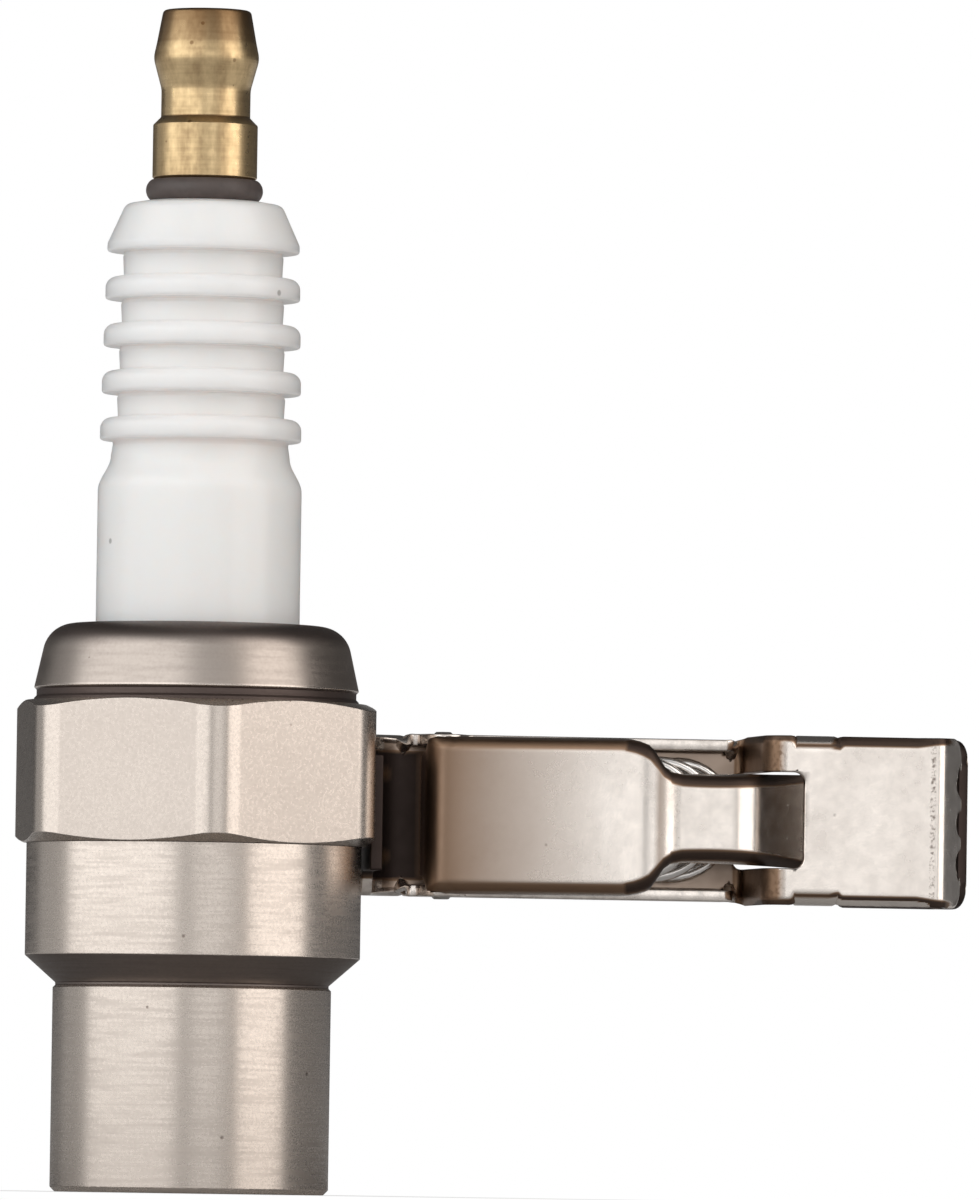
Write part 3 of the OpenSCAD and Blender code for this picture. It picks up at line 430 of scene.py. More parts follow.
class Strip:
    """A strip of sheet along a bent path, its two long edges rolled.

    A section is (half height, roll of the edges, straight hem past the roll), and a row is
    (run, turn, radius, section at the row's end).
    """
    web_columns, slot_share, roll_columns, hem_columns = 34, 0.72, 8, 2
    least_roll, flat_roll, slot_room = math.radians(20), 0.02, 0.92

    def __init__(self, clip, start, heading, section, rows, side, slot_half=0.0):
        self.clip, self.side, self.slot_half = clip, side, slot_half
        self.rows = []
        s = 0.0
        for run, turn, radius, last in rows:
            total = run + radius * abs(turn)
            self.rows.append((s, start, heading, section, run, turn, radius, last, total))
            start = start + run * heading_vector(heading)
            if turn:
                start = start + turn_shift(radius, heading, heading + turn)
            heading, section, s = heading + turn, last, s + total
        self.end = s

    def state(self, s):
        """Point, heading, section and sharpness of the bend at s along the path."""
        row = next((r for r in reversed(self.rows) if s >= r[0]), self.rows[0])
        s0, start, heading, section, run, turn, radius, last, total = row
        t = min(s - s0, total)
        mixed = [mix(a, b, t / total) for a, b in zip(section, last)]
        point = start + min(t, run) * heading_vector(heading)
        if turn == 0 or t <= run:
            return point, heading, mixed, 0.0
        turned_by = math.copysign((t - run) / radius, turn)
        swell = math.sin(math.pi * (t - run) / (radius * abs(turn)))
        bend = swell * min(1.0, MM / radius) * (1 if turn * self.side > 0 else -1)
        return point + turn_shift(radius, heading, heading + turned_by), heading + turned_by, mixed, bend

    def point(self, s, column):
        """Place on the sheet's middle surface.

        Column is 0 at the middle, 1 where the roll begins, 2 where the hem begins and 3 at its end.
        """
        xy, heading, (half, roll, hem), _ = self.state(s)
        roll = roll if abs(roll) > self.flat_roll else self.flat_roll
        roll_len = self.clip.edge_r * max(abs(roll), self.least_roll)
        r = roll_len / roll
        web = half - r * math.sin(roll) - hem * math.cos(roll) - self.clip.sheet_t / 2 * abs(math.sin(roll))
        inner = min(self.slot_half, self.slot_room * web) if self.slot_half else self.slot_share * web
        c = abs(column)
        if c <= self.slot_share:
            depth, height = 0.0, inner * c / self.slot_share
        elif c <= 1:
            depth, height = 0.0, mix(inner, web, (c - self.slot_share) / (1 - self.slot_share))
        else:
            a = roll * min(c - 1, 1)
            straight = hem * max(0.0, c - 2)
            depth = r * (1 - math.cos(a)) + straight * math.sin(roll)
            height = web + r * math.sin(a) + straight * math.cos(roll)
        flat = xy + self.side * depth * left_of(heading)
        return Vector((flat.x, flat.y, HINGE.z + math.copysign(height, column)))

    def find(self, x, halvings=60):
        """Path length at which the strip, which runs along X, reaches x."""
        low, high = 0.0, self.end
        for _ in range(halvings):
            middle = (low + high) / 2
            low, high = (middle, high) if self.state(middle)[0].x < x else (low, middle)
        return low

    def samples(self, run_step=0.4 * MM, turn_step=math.radians(6), least_step=0.02 * MM, extra=()):
        """Path lengths of the mesh's rows."""
        found = {0.0}
        for s0, _, _, _, run, turn, radius, _, _ in self.rows:
            n_run = math.ceil(run / run_step)
            n_turn = math.ceil(max(abs(turn) / turn_step, radius * abs(turn) / run_step))
            found.update(s0 + run * k / n_run for k in range(1, n_run + 1))
            found.update(s0 + run + radius * abs(turn) * k / n_turn for k in range(1, n_turn + 1))
        kept = list(extra)
        for s in sorted(found):
            if all(abs(s - other) > least_step for other in kept):
                kept.append(s)
        return sorted(kept)

    def columns(self):
        """Column values from one long edge to the other."""
        half = [k / self.web_columns for k in range(self.web_columns)]
        nearest = min(half, key=lambda c: abs(c - self.slot_share))
        half = [self.slot_share if c == nearest else c for c in half]
        half += [1 + k / self.roll_columns for k in range(self.roll_columns)]
        half += [2 + k / self.hem_columns for k in range(self.hem_columns + 1)]
        return [-c for c in reversed(half[1:])] + half


def sheet_solid(grid, keep, bends, thickness, rounding, flip, film):
    """Solid sheet round a grid of middle points, with rounded sheared edges.

    keep says which cells are sheet; film gives a place's edge value, negative for painted shade, by its
    face's normal.
    """
    middle = bmesh.new()
    bend_layer = middle.verts.layers.float.new("bend")
    verts = [[middle.verts.new(p) for p in row] for row in grid]
    for row, bend in zip(verts, bends):
        for v in row:
            v[bend_layer] = bend
    for i in range(len(grid) - 1):
        for k in range(len(grid[0]) - 1):
            if keep(i, k):
                corners = (verts[i][k], verts[i + 1][k], verts[i + 1][k + 1], verts[i][k + 1])
                middle.faces.new(corners if not flip else corners[::-1])
    bmesh.ops.delete(middle, geom=[v for v in middle.verts if not v.link_faces], context="VERTS")
    middle.normal_update()
    middle.verts.index_update()

    outward = {}
    for e in middle.edges:
        if len(e.link_faces) == 1:
            loop = e.link_loops[0]
            first, last = loop.vert, loop.link_loop_next.vert
            away = (last.co - first.co).normalized().cross(e.link_faces[0].normal)
            for v in (first, last):
                outward.setdefault(v.index, []).append(away)

    solid = bmesh.new()
    edge_out = solid.verts.layers.float.new("edge")
    bend_out = solid.verts.layers.float.new("bend")
    arc_steps, least_spread, rim_shade = 3, 0.7, -0.5
    rims = {}

    def add(place, edge, bend):
        vert = solid.verts.new(place)
        vert[edge_out], vert[bend_out] = edge, bend
        return vert

    upper, lower = [], []
    for v in middle.verts:
        bend = v[bend_layer]
        if v.index not in outward:
            upper.append(add(v.co + v.normal * thickness / 2, film(v.co, v.normal), bend))
            lower.append(add(v.co - v.normal * thickness / 2, film(v.co, -v.normal), bend))
            continue
        filmed = min(film(v.co, v.normal), film(v.co, -v.normal))
        away = sum(outward[v.index], Vector()).normalized()
        away /= max(least_spread, away.dot(outward[v.index][0]))
        # Rims keep their wear, unless deep painted shade lies on them.
        edge = filmed if filmed < rim_shade else 1.0
        rim = []
        for side in (1, -1):
            for k in range(arc_steps + 1):
                a = math.pi / 2 * (k if side < 0 else arc_steps - k) / arc_steps
                inset = rounding * (math.cos(a) - 1)
                rise = side * (thickness / 2 - rounding * (1 - math.sin(a)))
                rim.append(add(v.co + away * inset + v.normal * rise, edge, bend))
        rims[v.index] = rim
        upper.append(rim[0])
        lower.append(rim[-1])
    for f in middle.faces:
        solid.faces.new([upper[v.index] for v in f.verts])
        solid.faces.new([lower[v.index] for v in reversed(f.verts)])
    for e in middle.edges:
        if len(e.link_faces) == 1:
            loop = e.link_loops[0]
            first, last = rims[loop.vert.index], rims[loop.link_loop_next.vert.index]
            for k in range(len(first) - 1):
                solid.faces.new((last[k], first[k], first[k + 1], last[k + 1]))
    middle.free()
    return solid


def edge_film(normal):
    """Share of painted shade on a rolled edge whose face has that normal."""
    steepness = 1.6
    return settings().films.edge * min(1.0, steepness * math.sin(math.pi * min(1.0, abs(normal.z))))


def hem_for(clip, wall):
    """Hem that brings a side wall to a depth behind the strip's outer face."""
    return wall - clip.edge_r - clip.sheet_t / 2


def rounded_end(clip, steps=8):
    """Rows that round the free corners of a jaw."""
    rows = []
    for k in range(steps):
        a0, a1 = (math.pi / 2 * n / steps for n in (k, k + 1))
        half = clip.jaw_half - clip.corner_r * (1 - math.cos(a1))
        rows.append((clip.corner_r * (math.sin(a1) - math.sin(a0)), 0, 0, (half, 0, clip.flat_hem)))
    return rows


def spread(run, first, last, steps=6):
    """Rows over which one section eases into another."""
    shares = [(1 - math.cos(math.pi * k / steps)) / 2 for k in range(1, steps + 1)]
    return [(run / steps, 0, 0, tuple(mix(a, b, t) for a, b in zip(first, last))) for t in shares]


def lip_run(clip, depth, nose):
    """Run of a jaw's lip from its nose bend to the gap between the jaws."""
    room = depth - clip.jaw_gap / 2 - clip.nose_bend * (1 - math.cos(nose))
    return (room - clip.sheet_t / 2 * math.cos(nose)) / math.sin(nose)


def base_strip(clip):
    """Path of the base lever, from its tab over the web and the rise to the front jaw's lip."""
    hem = clip.flat_hem
    wall = (clip.base_half, math.pi / 2, hem_for(clip, clip.base_wall))
    web_y = clip.web_back - clip.sheet_t / 2
    web_start = clip.flat_x + clip.sheet_t / 2 + clip.tab_bend
    jaw_y = clip.sheet_t / 2 - clip.jaw_front
    bends = clip.rise_bend + clip.jaw_bend
    rise_run = (web_y - jaw_y - bends * (1 - math.cos(clip.rise_slope))) / math.sin(clip.rise_slope)
    rise_x = (clip.base_wall_end + clip.wall_fade + bends * math.sin(clip.rise_slope)
              + rise_run * math.cos(clip.rise_slope))
    rise = (clip.jaw_half, -clip.rise_roll, hem)
    jaw_ear = (clip.jaw_half, -clip.ear_roll, clip.ear_hem)
    edge = (clip.jaw_half, -clip.front_roll, hem)

    def ear(dx):
        depth = clip.web_back - HINGE.y + math.sqrt(max(0.0, clip.ear_r ** 2 - dx ** 2))
        return clip.base_half, math.pi / 2, hem_for(clip, max(clip.base_wall, depth))

    ear_steps = 12
    ear_x = [-clip.ear_r * math.cos(math.pi * k / ear_steps) for k in range(ear_steps + 1)]
    rows = [
        (clip.tab_front + web_y - clip.tab_bend - clip.corner_r, 0, 0, (clip.tab_half, 0, hem)),
        *spread(clip.corner_r, (clip.tab_half, 0, hem), (clip.base_half, 0, hem)),
        (0, -math.pi / 2, clip.tab_bend, (clip.base_half, clip.first_roll, hem)),
        *spread(clip.wall_fade, (clip.base_half, clip.first_roll, hem), wall),
        (HINGE.x - clip.ear_r - web_start - clip.wall_fade, 0, 0, wall),
        *((x1 - x0, 0, 0, ear(x1)) for x0, x1 in zip(ear_x, ear_x[1:])),
        (clip.base_wall_end - HINGE.x - clip.ear_r, 0, 0, wall),
        *spread(clip.wall_fade, wall, (clip.base_half, 0, hem)),
        (0, -clip.rise_slope, clip.rise_bend, rise),
        (rise_run, clip.rise_slope, clip.jaw_bend, rise),
        *spread(clip.wall_fade, rise, jaw_ear),
        (clip.jaw_ear_end - rise_x - clip.wall_fade, 0, 0, jaw_ear),
        *spread(clip.wall_fade, jaw_ear, edge),
        (clip.front_nose_x - clip.corner_r - clip.jaw_ear_end - clip.wall_fade, 0, 0, edge),
        (clip.corner_r, clip.front_nose, clip.nose_bend, (clip.jaw_half, -clip.jaw_roll, hem)),
        (lip_run(clip, -jaw_y, clip.front_nose) - clip.corner_r, 0, 0, (clip.jaw_half, 0, hem)),
        *rounded_end(clip),
    ]
    start = Vector((clip.flat_x + clip.sheet_t / 2, -clip.tab_front))
    return Strip(clip, start, math.pi / 2, (clip.tab_half, 0, hem), rows, -1, clip.slot_half)


def pad_foot(clip, slope):
    """Start of the thumb pad's middle line, after the bend below the eye."""
    start = Vector((HINGE.x - clip.eye_mid, HINGE.y - clip.eye_r - clip.eye_gap))
    return start + turn_shift(clip.pad_bend, -math.pi / 2, -slope)


def thumb_strip(clip):
    """Path of the thumb lever, from its rolled eye over the pad, neck and tongue to the back jaw's lip."""
    hem, fall = clip.flat_hem, clip.shoulder_slope
    pad = (clip.pad_half, math.pi / 2, hem_for(clip, clip.pad_wall))
    neck = (clip.neck_half, math.pi / 2, hem_for(clip, clip.neck_wall))
    first, last = clip.pad_slope - clip.pad_dish / 2, clip.pad_slope + clip.pad_dish / 2
    corner = pad_foot(clip, first) + clip.pad_corner * heading_vector(-first)
    dish_r = (clip.pad_end - corner.x) / (math.sin(last) - math.sin(first))
    tip = corner + turn_shift(dish_r, -first, -last)
    knee = tip + turn_shift(clip.pad_knee, -last, fall)
    drop = turn_shift(clip.pad_knee, fall, 0)
    shoulder_run = (clip.neck_start - drop.x - knee.x) / math.cos(fall)
    neck_y = knee.y + shoulder_run * math.sin(fall) + drop.y
    back_y = clip.jaw_back - clip.sheet_t / 2
    bends = clip.tongue_bend + clip.jaw_bend
    tongue_run = (back_y - neck_y - bends * (1 - math.cos(clip.tongue_slope))) / math.sin(clip.tongue_slope)
    back_x = clip.neck_end + bends * math.sin(clip.tongue_slope) + tongue_run * math.cos(clip.tongue_slope)
    plain = (clip.jaw_half, -clip.jaw_roll, hem)
    eye = (clip.eye_half, 0, hem)
    corner_roll = (clip.pad_half, clip.ear_roll, 0)
    widened, knee_shares, ease_steps = 0.4, (0.16, 0.5, 0.84, 1.0), 3
    wide_tongue = (mix(clip.slot_half, clip.jaw_half, widened), 0, hem)
    eased = (first - last) * clip.pad_ease / ease_steps
    rows = [
        (0, clip.eye_turn, clip.eye_mid, eye),
        (clip.eye_r + clip.eye_gap, 0, 0, (clip.eye_half + hem, 0, hem)),
        (0, clip.first_roll, clip.pad_bend, (clip.pad_half - hem / 2, clip.first_roll, 0)),
        (0, math.pi / 2 - first - clip.first_roll, clip.pad_bend, corner_roll),
        *spread(clip.pad_corner, corner_roll, pad),
        (0, (first - last) * (1 - clip.pad_ease), dish_r, pad),
        *((0, eased, dish_r, (clip.pad_half - hem * (k / ease_steps) ** 2, *pad[1:]))
          for k in range(1, ease_steps + 1)),
        *((0, (last + fall) / len(knee_shares), clip.pad_knee,
           (mix(clip.pad_half - hem, clip.neck_half + hem, k), *pad[1:])) for k in knee_shares),
        (shoulder_run, 0, 0, (clip.neck_half + hem / 2, *neck[1:])),
        (0, -fall, clip.pad_knee, neck),
        (clip.neck_end - clip.neck_start, clip.tongue_slope, clip.tongue_bend,
         (mix(clip.neck_half, clip.tongue_half, 0.5), clip.tongue_roll, hem)),
        (tongue_run, 0, 0, (clip.tongue_half, clip.jaw_roll, hem)),
        (0, -clip.tongue_slope, clip.jaw_bend, wide_tongue),
        *spread(clip.corner_r, wide_tongue, plain),
        (clip.nose_x - back_x - clip.corner_r, -clip.back_nose, clip.nose_bend, plain),
        (lip_run(clip, back_y, clip.back_nose) - clip.corner_r, 0, 0, (clip.jaw_half, 0, hem)),
        *rounded_end(clip),
    ]
    begin = -math.pi / 2 - clip.eye_turn
    start = HINGE.xy - clip.eye_mid * left_of(begin)
    return Strip(clip, start, begin, eye, rows, 1)


# Materials

def link(tree, source, target):
    """Join two sockets."""
    tree.links.new(source, target)


def add_node(tree, kind, values=None, **options):
    """A node with its settings, and its inputs set to values or linked to sockets."""
    node = tree.nodes.new(kind)
    for name, value in options.items():
        setattr(node, name, value)
    for name, value in (values or {}).items():
        if isinstance(value, bpy.types.NodeSocket):
            link(tree, value, node.inputs[name])
        else:
            node.inputs[name].default_value = value
    return node


def math_node(tree, operation, a, b=0.0):
    """Result of one sum on two values."""
    return add_node(tree, "ShaderNodeMath", {0: a, 1: b}, operation=operation).outputs[0]


def ramp(tree, value, low, high, to_low=0.0, to_high=1.0):
    """Value carried from low..high to to_low..to_high and held at the ends."""
    node = add_node(tree, "ShaderNodeMapRange", {"Value": value, "From Min": low, "From Max": high,
                                                 "To Min": to_low, "To Max": to_high}, clamp=True)
    return node.outputs["Result"]


def blend_colour(tree, factor, a, b):
    """Colour a where factor is 0 and b where it is 1."""
    factor_at, a_at, b_at, result_at = 0, 6, 7, 2
    values = {factor_at: factor}
    for at, end in ((a_at, a), (b_at, b)):
        values[at] = end if isinstance(end, bpy.types.NodeSocket) else (*end, 1.0)
    mixed = add_node(tree, "ShaderNodeMix", values, data_type="RGBA", clamp_factor=True)
    return mixed.outputs[result_at]


def effect(name, inputs, outputs):
    """A new shader node group with float inputs {name: default} and float outputs."""
    group = bpy.data.node_groups.new(name, "ShaderNodeTree")
    for title, default in inputs.items():
        socket = group.interface.new_socket(title, in_out="INPUT", socket_type="NodeSocketFloat")
        socket.default_value = default
    for title in outputs:
        group.interface.new_socket(title, in_out="OUTPUT", socket_type="NodeSocketFloat")
    given = group.nodes.new("NodeGroupInput").outputs
    taken = group.nodes.new("NodeGroupOutput").inputs
    return group, given, taken


def noise(tree, vector, scale, detail=3.0, roughness=0.55):
    """Cloudy value from 0 to 1."""
    return add_node(tree, "ShaderNodeTexNoise", {"Vector": vector, "Scale": scale, "Detail": detail,
                                                 "Roughness": roughness}).outputs["Fac"]


def place(tree):
    """Place of the shaded point on its piece."""
    return add_node(tree, "ShaderNodeTexCoord").outputs["Object"]


def lathe_lines():
    """Fine rings left by the turning tool, on sides and faces alike."""
    tree, given, taken = effect("lathe_lines", {"Lines": 6000.0, "Wander": 45.0, "Reach": 1.0},
                                ("Height", "Streak"))
    spot = place(tree)
    parts = add_node(tree, "ShaderNodeSeparateXYZ", {0: spot}).outputs
    squares = math_node(tree, "ADD", math_node(tree, "MULTIPLY", parts[0], parts[0]),
                        math_node(tree, "MULTIPLY", parts[1], parts[1]))
    radius = math_node(tree, "SQRT", squares)
    turned_part = math_node(tree, "LESS_THAN", radius, given["Reach"])
    across = math_node(tree, "ADD", radius, parts[2])
    ringed = add_node(tree, "ShaderNodeCombineXYZ", {
        "X": math_node(tree, "MULTIPLY", parts[0], given["Wander"]),
        "Y": math_node(tree, "MULTIPLY", parts[1], given["Wander"]),
        "Z": math_node(tree, "MULTIPLY", across, given["Lines"])}).outputs[0]
    height = noise(tree, ringed, 1.0, detail=2.0)
    link(tree, math_node(tree, "MULTIPLY", turned_part, height), taken["Height"])
    broader = (1.6, 1.6, 0.6)
    wide = add_node(tree, "ShaderNodeVectorMath", {0: ringed, 1: broader}, operation="MULTIPLY")
    streak = ramp(tree, noise(tree, wide.outputs[0], 1.0, detail=1.0), 0.42, 0.72)
    link(tree, math_node(tree, "MULTIPLY", turned_part, streak), taken["Streak"])
    return tree


def metal_grain():
    """Fine pebbly grain of plated metal, with a coarser unevenness under it."""
    tree, given, taken = effect("metal_grain", {"Fine": 9000.0, "Coarse": 1600.0}, ("Height", "Shade"))
    spot = place(tree)
    fine = noise(tree, spot, given["Fine"], detail=2.0)
    coarse = noise(tree, spot, given["Coarse"])
    link(tree, math_node(tree, "ADD", fine, coarse), taken["Height"])
    link(tree, ramp(tree, coarse, 0.35, 0.7), taken["Shade"])
    return tree


def stains():
    """Soft patches of film."""
    tree, given, taken = effect("stains", {"Scale": 160.0, "Low": 0.5, "High": 0.72, "Rise": 1.0}, ("Mask",))
    spot = place(tree)
    stretch = add_node(tree, "ShaderNodeCombineXYZ", {"X": 1.0, "Y": 1.0, "Z": given["Rise"]}).outputs[0]
    shift = (0.011, 0.023, 0.007)
    shifted = add_node(tree, "ShaderNodeVectorMath", {0: spot, 1: stretch, 2: shift},
                       operation="MULTIPLY_ADD").outputs[0]
    patches = noise(tree, shifted, given["Scale"], detail=5.0, roughness=0.6)
    link(tree, ramp(tree, patches, given["Low"], given["High"]), taken["Mask"])
    return tree


def specks():
    """Sparse small spots."""
    tree, given, taken = effect("specks", {"Scale": 900.0, "Share": 0.12, "Size": 0.18}, ("Mask",))
    cells = add_node(tree, "ShaderNodeTexVoronoi", {"Vector": place(tree), "Scale": given["Scale"]})
    parts = add_node(tree, "ShaderNodeSeparateColor", {0: cells.outputs["Color"]}).outputs
    chosen = math_node(tree, "LESS_THAN", parts[0], given["Share"])
    least, full = 0.35, 0.55
    reach = math_node(tree, "MULTIPLY", given["Size"], math_node(tree, "ADD", parts[1], least))
    near = ramp(tree, cells.outputs["Distance"], reach, math_node(tree, "MULTIPLY", reach, full))
    link(tree, math_node(tree, "MULTIPLY", chosen, near), taken["Mask"])
    return tree


def wear_and_shade():
    """Ragged wear on ridges, and painted shade in grooves and hollows, from the edge value that the meshes
    carry.
    """
    tree, given, taken = effect("wear_and_shade", {"Scale": 1400.0}, ("Ridge", "Groove"))
    carried = add_node(tree, "ShaderNodeAttribute", attribute_name="edge").outputs["Fac"]
    ragged = ramp(tree, noise(tree, place(tree), given["Scale"], detail=4.0, roughness=0.65), 0.4, 0.62)
    link(tree, math_node(tree, "MULTIPLY", ramp(tree, carried, 0.1, 1.0), ragged), taken["Ridge"])
    link(tree, ramp(tree, carried, -0.1, -1.0), taken["Groove"])
    return tree


def stretched():
    """Grain that opens where the sheet is stretched over a bend."""
    tree, given, taken = effect("stretched", {"Scale": 3800.0}, ("Mask", "Height"))
    carried = add_node(tree, "ShaderNodeAttribute", attribute_name="bend").outputs["Fac"]
    grain = noise(tree, place(tree), given["Scale"], detail=4.0, roughness=0.7)
    over = ramp(tree, carried, -0.15, -0.6)
    link(tree, math_node(tree, "MULTIPLY", over, ramp(tree, grain, 0.5, 0.6)), taken["Mask"])
    link(tree, math_node(tree, "MULTIPLY", over, grain), taken["Height"])
    return tree


def use(tree, build, **values):
    """The outputs of a shared effect placed in a material; the effect is built the first time."""
    group = bpy.data.node_groups.get(build.__name__) or build()
    node = add_node(tree, "ShaderNodeGroup", node_tree=group)
    for name, value in values.items():
        node.inputs[name].default_value = value
    return node.outputs


def material(name, metallic=0.0, **constants):
    """A new material with a Principled shader."""
    made = bpy.data.materials.new(name)
    made.use_nodes = True
    shader = made.node_tree.nodes["Principled BSDF"]
    shader.inputs["Metallic"].default_value = metallic
    for title, value in constants.items():
        shader.inputs[title.replace("_", " ")].default_value = value
    return made, made.node_tree, shader.inputs


def bump(tree, height, depth):
    """Normal of a relief of that depth."""
    node = add_node(tree, "ShaderNodeBump", {"Height": height, "Distance": depth, "Strength": 1.0})
    return node.outputs["Normal"]


def weigh(tree, *pairs, base=None):
    """Sum of values times weights, on top of a base."""
    total = base
    for value, weight in pairs:
        part = math_node(tree, "MULTIPLY", value, weight)
        total = part if total is None else math_node(tree, "ADD", total, part)
    return total


def dress(tree, inputs, tone, rough, relief, depth=GRAIN_DEPTH):
    """Give a material's shader its colour, roughness and relief."""
    link(tree, tone, inputs["Base Color"])
    link(tree, rough, inputs["Roughness"])
    link(tree, bump(tree, relief, depth), inputs["Normal"])


def shell_finish(finish):
    """Satin nickel with lathe lines, worn ridges, and painted shade in its grooves and on its seat, hexagon
    and collar.
    """
    made, tree, inputs = material("satin_nickel", metallic=1.0)
    lines = use(tree, lathe_lines, Lines=7000.0, Wander=180.0, Reach=settings().shell.body_r + 0.1 * MM)
    grain = use(tree, metal_grain, Coarse=5600.0)
    film = use(tree, stains, Scale=55.0, Low=0.35, High=0.8)["Mask"]
    spots = use(tree, specks, Scale=1100.0, Share=0.05, Size=0.13)["Mask"]
    wear = use(tree, wear_and_shade)
    dull = weigh(tree, (film, 0.1), (lines["Streak"], 0.1), (grain["Shade"], 0.08), (wear["Ridge"], 0.35),
                 (spots, 0.6))
    tone = blend_colour(tree, dull, finish.shell_nickel, finish.tarnish)
    # Painted shade from the negative edge values, in the dark colour.
    tone = blend_colour(tree, weigh(tree, (wear["Groove"], 0.95)), tone, finish.soot)
    rough = weigh(tree, (grain["Shade"], 0.07), (lines["Streak"], 0.06), (film, 0.05), (wear["Groove"], 0.2),
                  base=0.21)
    relief = weigh(tree, (lines["Height"], 0.24), (grain["Height"], 0.07), (spots, -0.6),
                   (wear["Ridge"], -0.8))
    dress(tree, inputs, tone, rough, relief)
    return made


def clip_finish(finish):
    """Bright nickel with stains, opened grain on its bends, and painted shade, brown to near-black, on
    hollows and edges.
    """
    made, tree, inputs = material("bright_nickel", metallic=1.0)
    grain = use(tree, metal_grain, Fine=7000.0, Coarse=1300.0)
    film = use(tree, stains, Scale=190.0, Low=0.4, High=0.85)["Mask"]
    spots = use(tree, specks, Scale=800.0, Share=0.05, Size=0.14)["Mask"]
    pulled = use(tree, stretched)
    wear = use(tree, wear_and_shade, Scale=900.0)
    dull = weigh(tree, (film, 0.2), (grain["Shade"], 0.06))
    tone = blend_colour(tree, dull, finish.clip_nickel, finish.tarnish)
    tone = blend_colour(tree, weigh(tree, (pulled["Mask"], 0.75)), tone, finish.tarnish)
    tone = blend_colour(tree, weigh(tree, (wear["Ridge"], 0.3), (spots, 0.6)), tone, finish.tarnish)
    # Painted shade from the negative edge values, brown, and near-black where it is deepest.
    tone = blend_colour(tree, weigh(tree, (wear["Groove"], 1.9)), tone, finish.brown)
    tone = blend_colour(tree, ramp(tree, wear["Groove"], 0.45, 1.0), tone, finish.recess)
    rough = weigh(tree, (grain["Shade"], 0.06), (film, 0.06), (pulled["Mask"], 0.25), (wear["Groove"], 0.25),
                  base=0.2)
    relief = weigh(tree, (grain["Height"], 0.3), (pulled["Height"], 1.3), (spots, -0.8))
    dress(tree, inputs, tone, rough, relief)
    return made


def ceramic_finish(finish):
    """White glaze over a ceramic that lets some light in, with warm patches, specks and faint painted shade
    in corners.
    """
    made, tree, inputs = material("glazed_ceramic", Coat_Roughness=0.12, IOR=1.5, Subsurface_Weight=1.0,
                                  Subsurface_Radius=(1.0, 0.9, 0.85), Subsurface_Scale=2.5 * MM)
    film = use(tree, stains, Scale=90.0, Low=0.4, High=0.8)["Mask"]
    spots = use(tree, specks, Scale=520.0, Share=0.16, Size=0.1)["Mask"]
    wear = use(tree, wear_and_shade)
    grain = use(tree, metal_grain, Fine=3000.0, Coarse=700.0)
    warmth, greyness = (1.0, 0.965, 0.955), 0.35
    warm = [c * w for c, w in zip(finish.ceramic, warmth)]
    grey = [c * greyness for c in finish.ceramic]
    tone = blend_colour(tree, weigh(tree, (film, 0.8)), finish.ceramic, warm)
    # Painted shade: a little grey in the concave corners.
    tone = blend_colour(tree, weigh(tree, (wear["Groove"], 0.06)), tone, grey)
    tone = blend_colour(tree, weigh(tree, (spots, 0.75)), tone, grey)
    rough = ramp(tree, grain["Shade"], 0.0, 1.0, to_low=0.32, to_high=0.42)
    link(tree, ramp(tree, film, 0.0, 1.0, to_low=0.35, to_high=0.2), inputs["Coat Weight"])
    dress(tree, inputs, tone, rough, weigh(tree, (grain["Height"], 0.5), (spots, -1.0)))
    return made


def brass_finish(finish):
    """Turned brass with brown stains, which also paint shadow on the chamfer, shade in corners and a darker
    top.
    """
    made, tree, inputs = material("worn_brass", metallic=1.0)
    lines = use(tree, lathe_lines, Lines=9000.0, Wander=120.0)
    grain = use(tree, metal_grain, Fine=9000.0, Coarse=2200.0)
    film = use(tree, stains, Scale=620.0, Low=0.42, High=0.68, Rise=0.22)["Mask"]
    spots = use(tree, specks, Scale=1500.0, Share=0.14, Size=0.2)["Mask"]
    wear = use(tree, wear_and_shade)
    tone = blend_colour(tree, weigh(tree, (film, 0.5), (grain["Shade"], 0.16), (lines["Streak"], 0.12)),
                        finish.brass, finish.brass_stain)
    # Specks, and painted shadow and shade from the negative edge values, in the stain's brown.
    tone = blend_colour(tree, weigh(tree, (spots, 0.6), (wear["Groove"], 0.85)), tone, finish.brass_stain)
    rough = weigh(tree, (film, 0.12), (grain["Shade"], 0.08), base=0.26)
    relief = weigh(tree, (lines["Height"], 0.5), (grain["Height"], 0.4), (spots, -0.8))
    dress(tree, inputs, tone, rough, relief)
    return made


def rubber_finish(finish):
    """Dark rubber with a little dust."""
    made, tree, inputs = material("dark_rubber")
    grain = use(tree, metal_grain, Fine=8000.0, Coarse=1500.0)
    dust = use(tree, stains, Scale=500.0, Low=0.5, High=0.8)["Mask"]
    paleness = 2.2
    pale = [min(1.0, c * paleness) for c in finish.rubber]
    tone = blend_colour(tree, weigh(tree, (dust, 0.5), (grain["Shade"], 0.2)), finish.rubber, pale)
    rough = ramp(tree, grain["Shade"], 0.0, 1.0, to_low=0.45, to_high=0.6)
    dress(tree, inputs, tone, rough, grain["Height"], 0.004 * MM)
    return made


def plain_metal(name, base, film_colour, roughness):
    """Unplated metal with fine grain and a film of age."""
    made, tree, inputs = material(name, metallic=1.0)
    grain = use(tree, metal_grain)
    film = use(tree, stains, Scale=300.0, Low=0.45, High=0.75)["Mask"]
    unevenness = 0.12
    tone = blend_colour(tree, weigh(tree, (film, 0.35), (grain["Shade"], 0.1)), base, film_colour)
    rough = ramp(tree, grain["Shade"], 0.0, 1.0, to_low=roughness, to_high=roughness + unevenness)
    dress(tree, inputs, tone, rough, grain["Height"], 0.003 * MM)
    return made


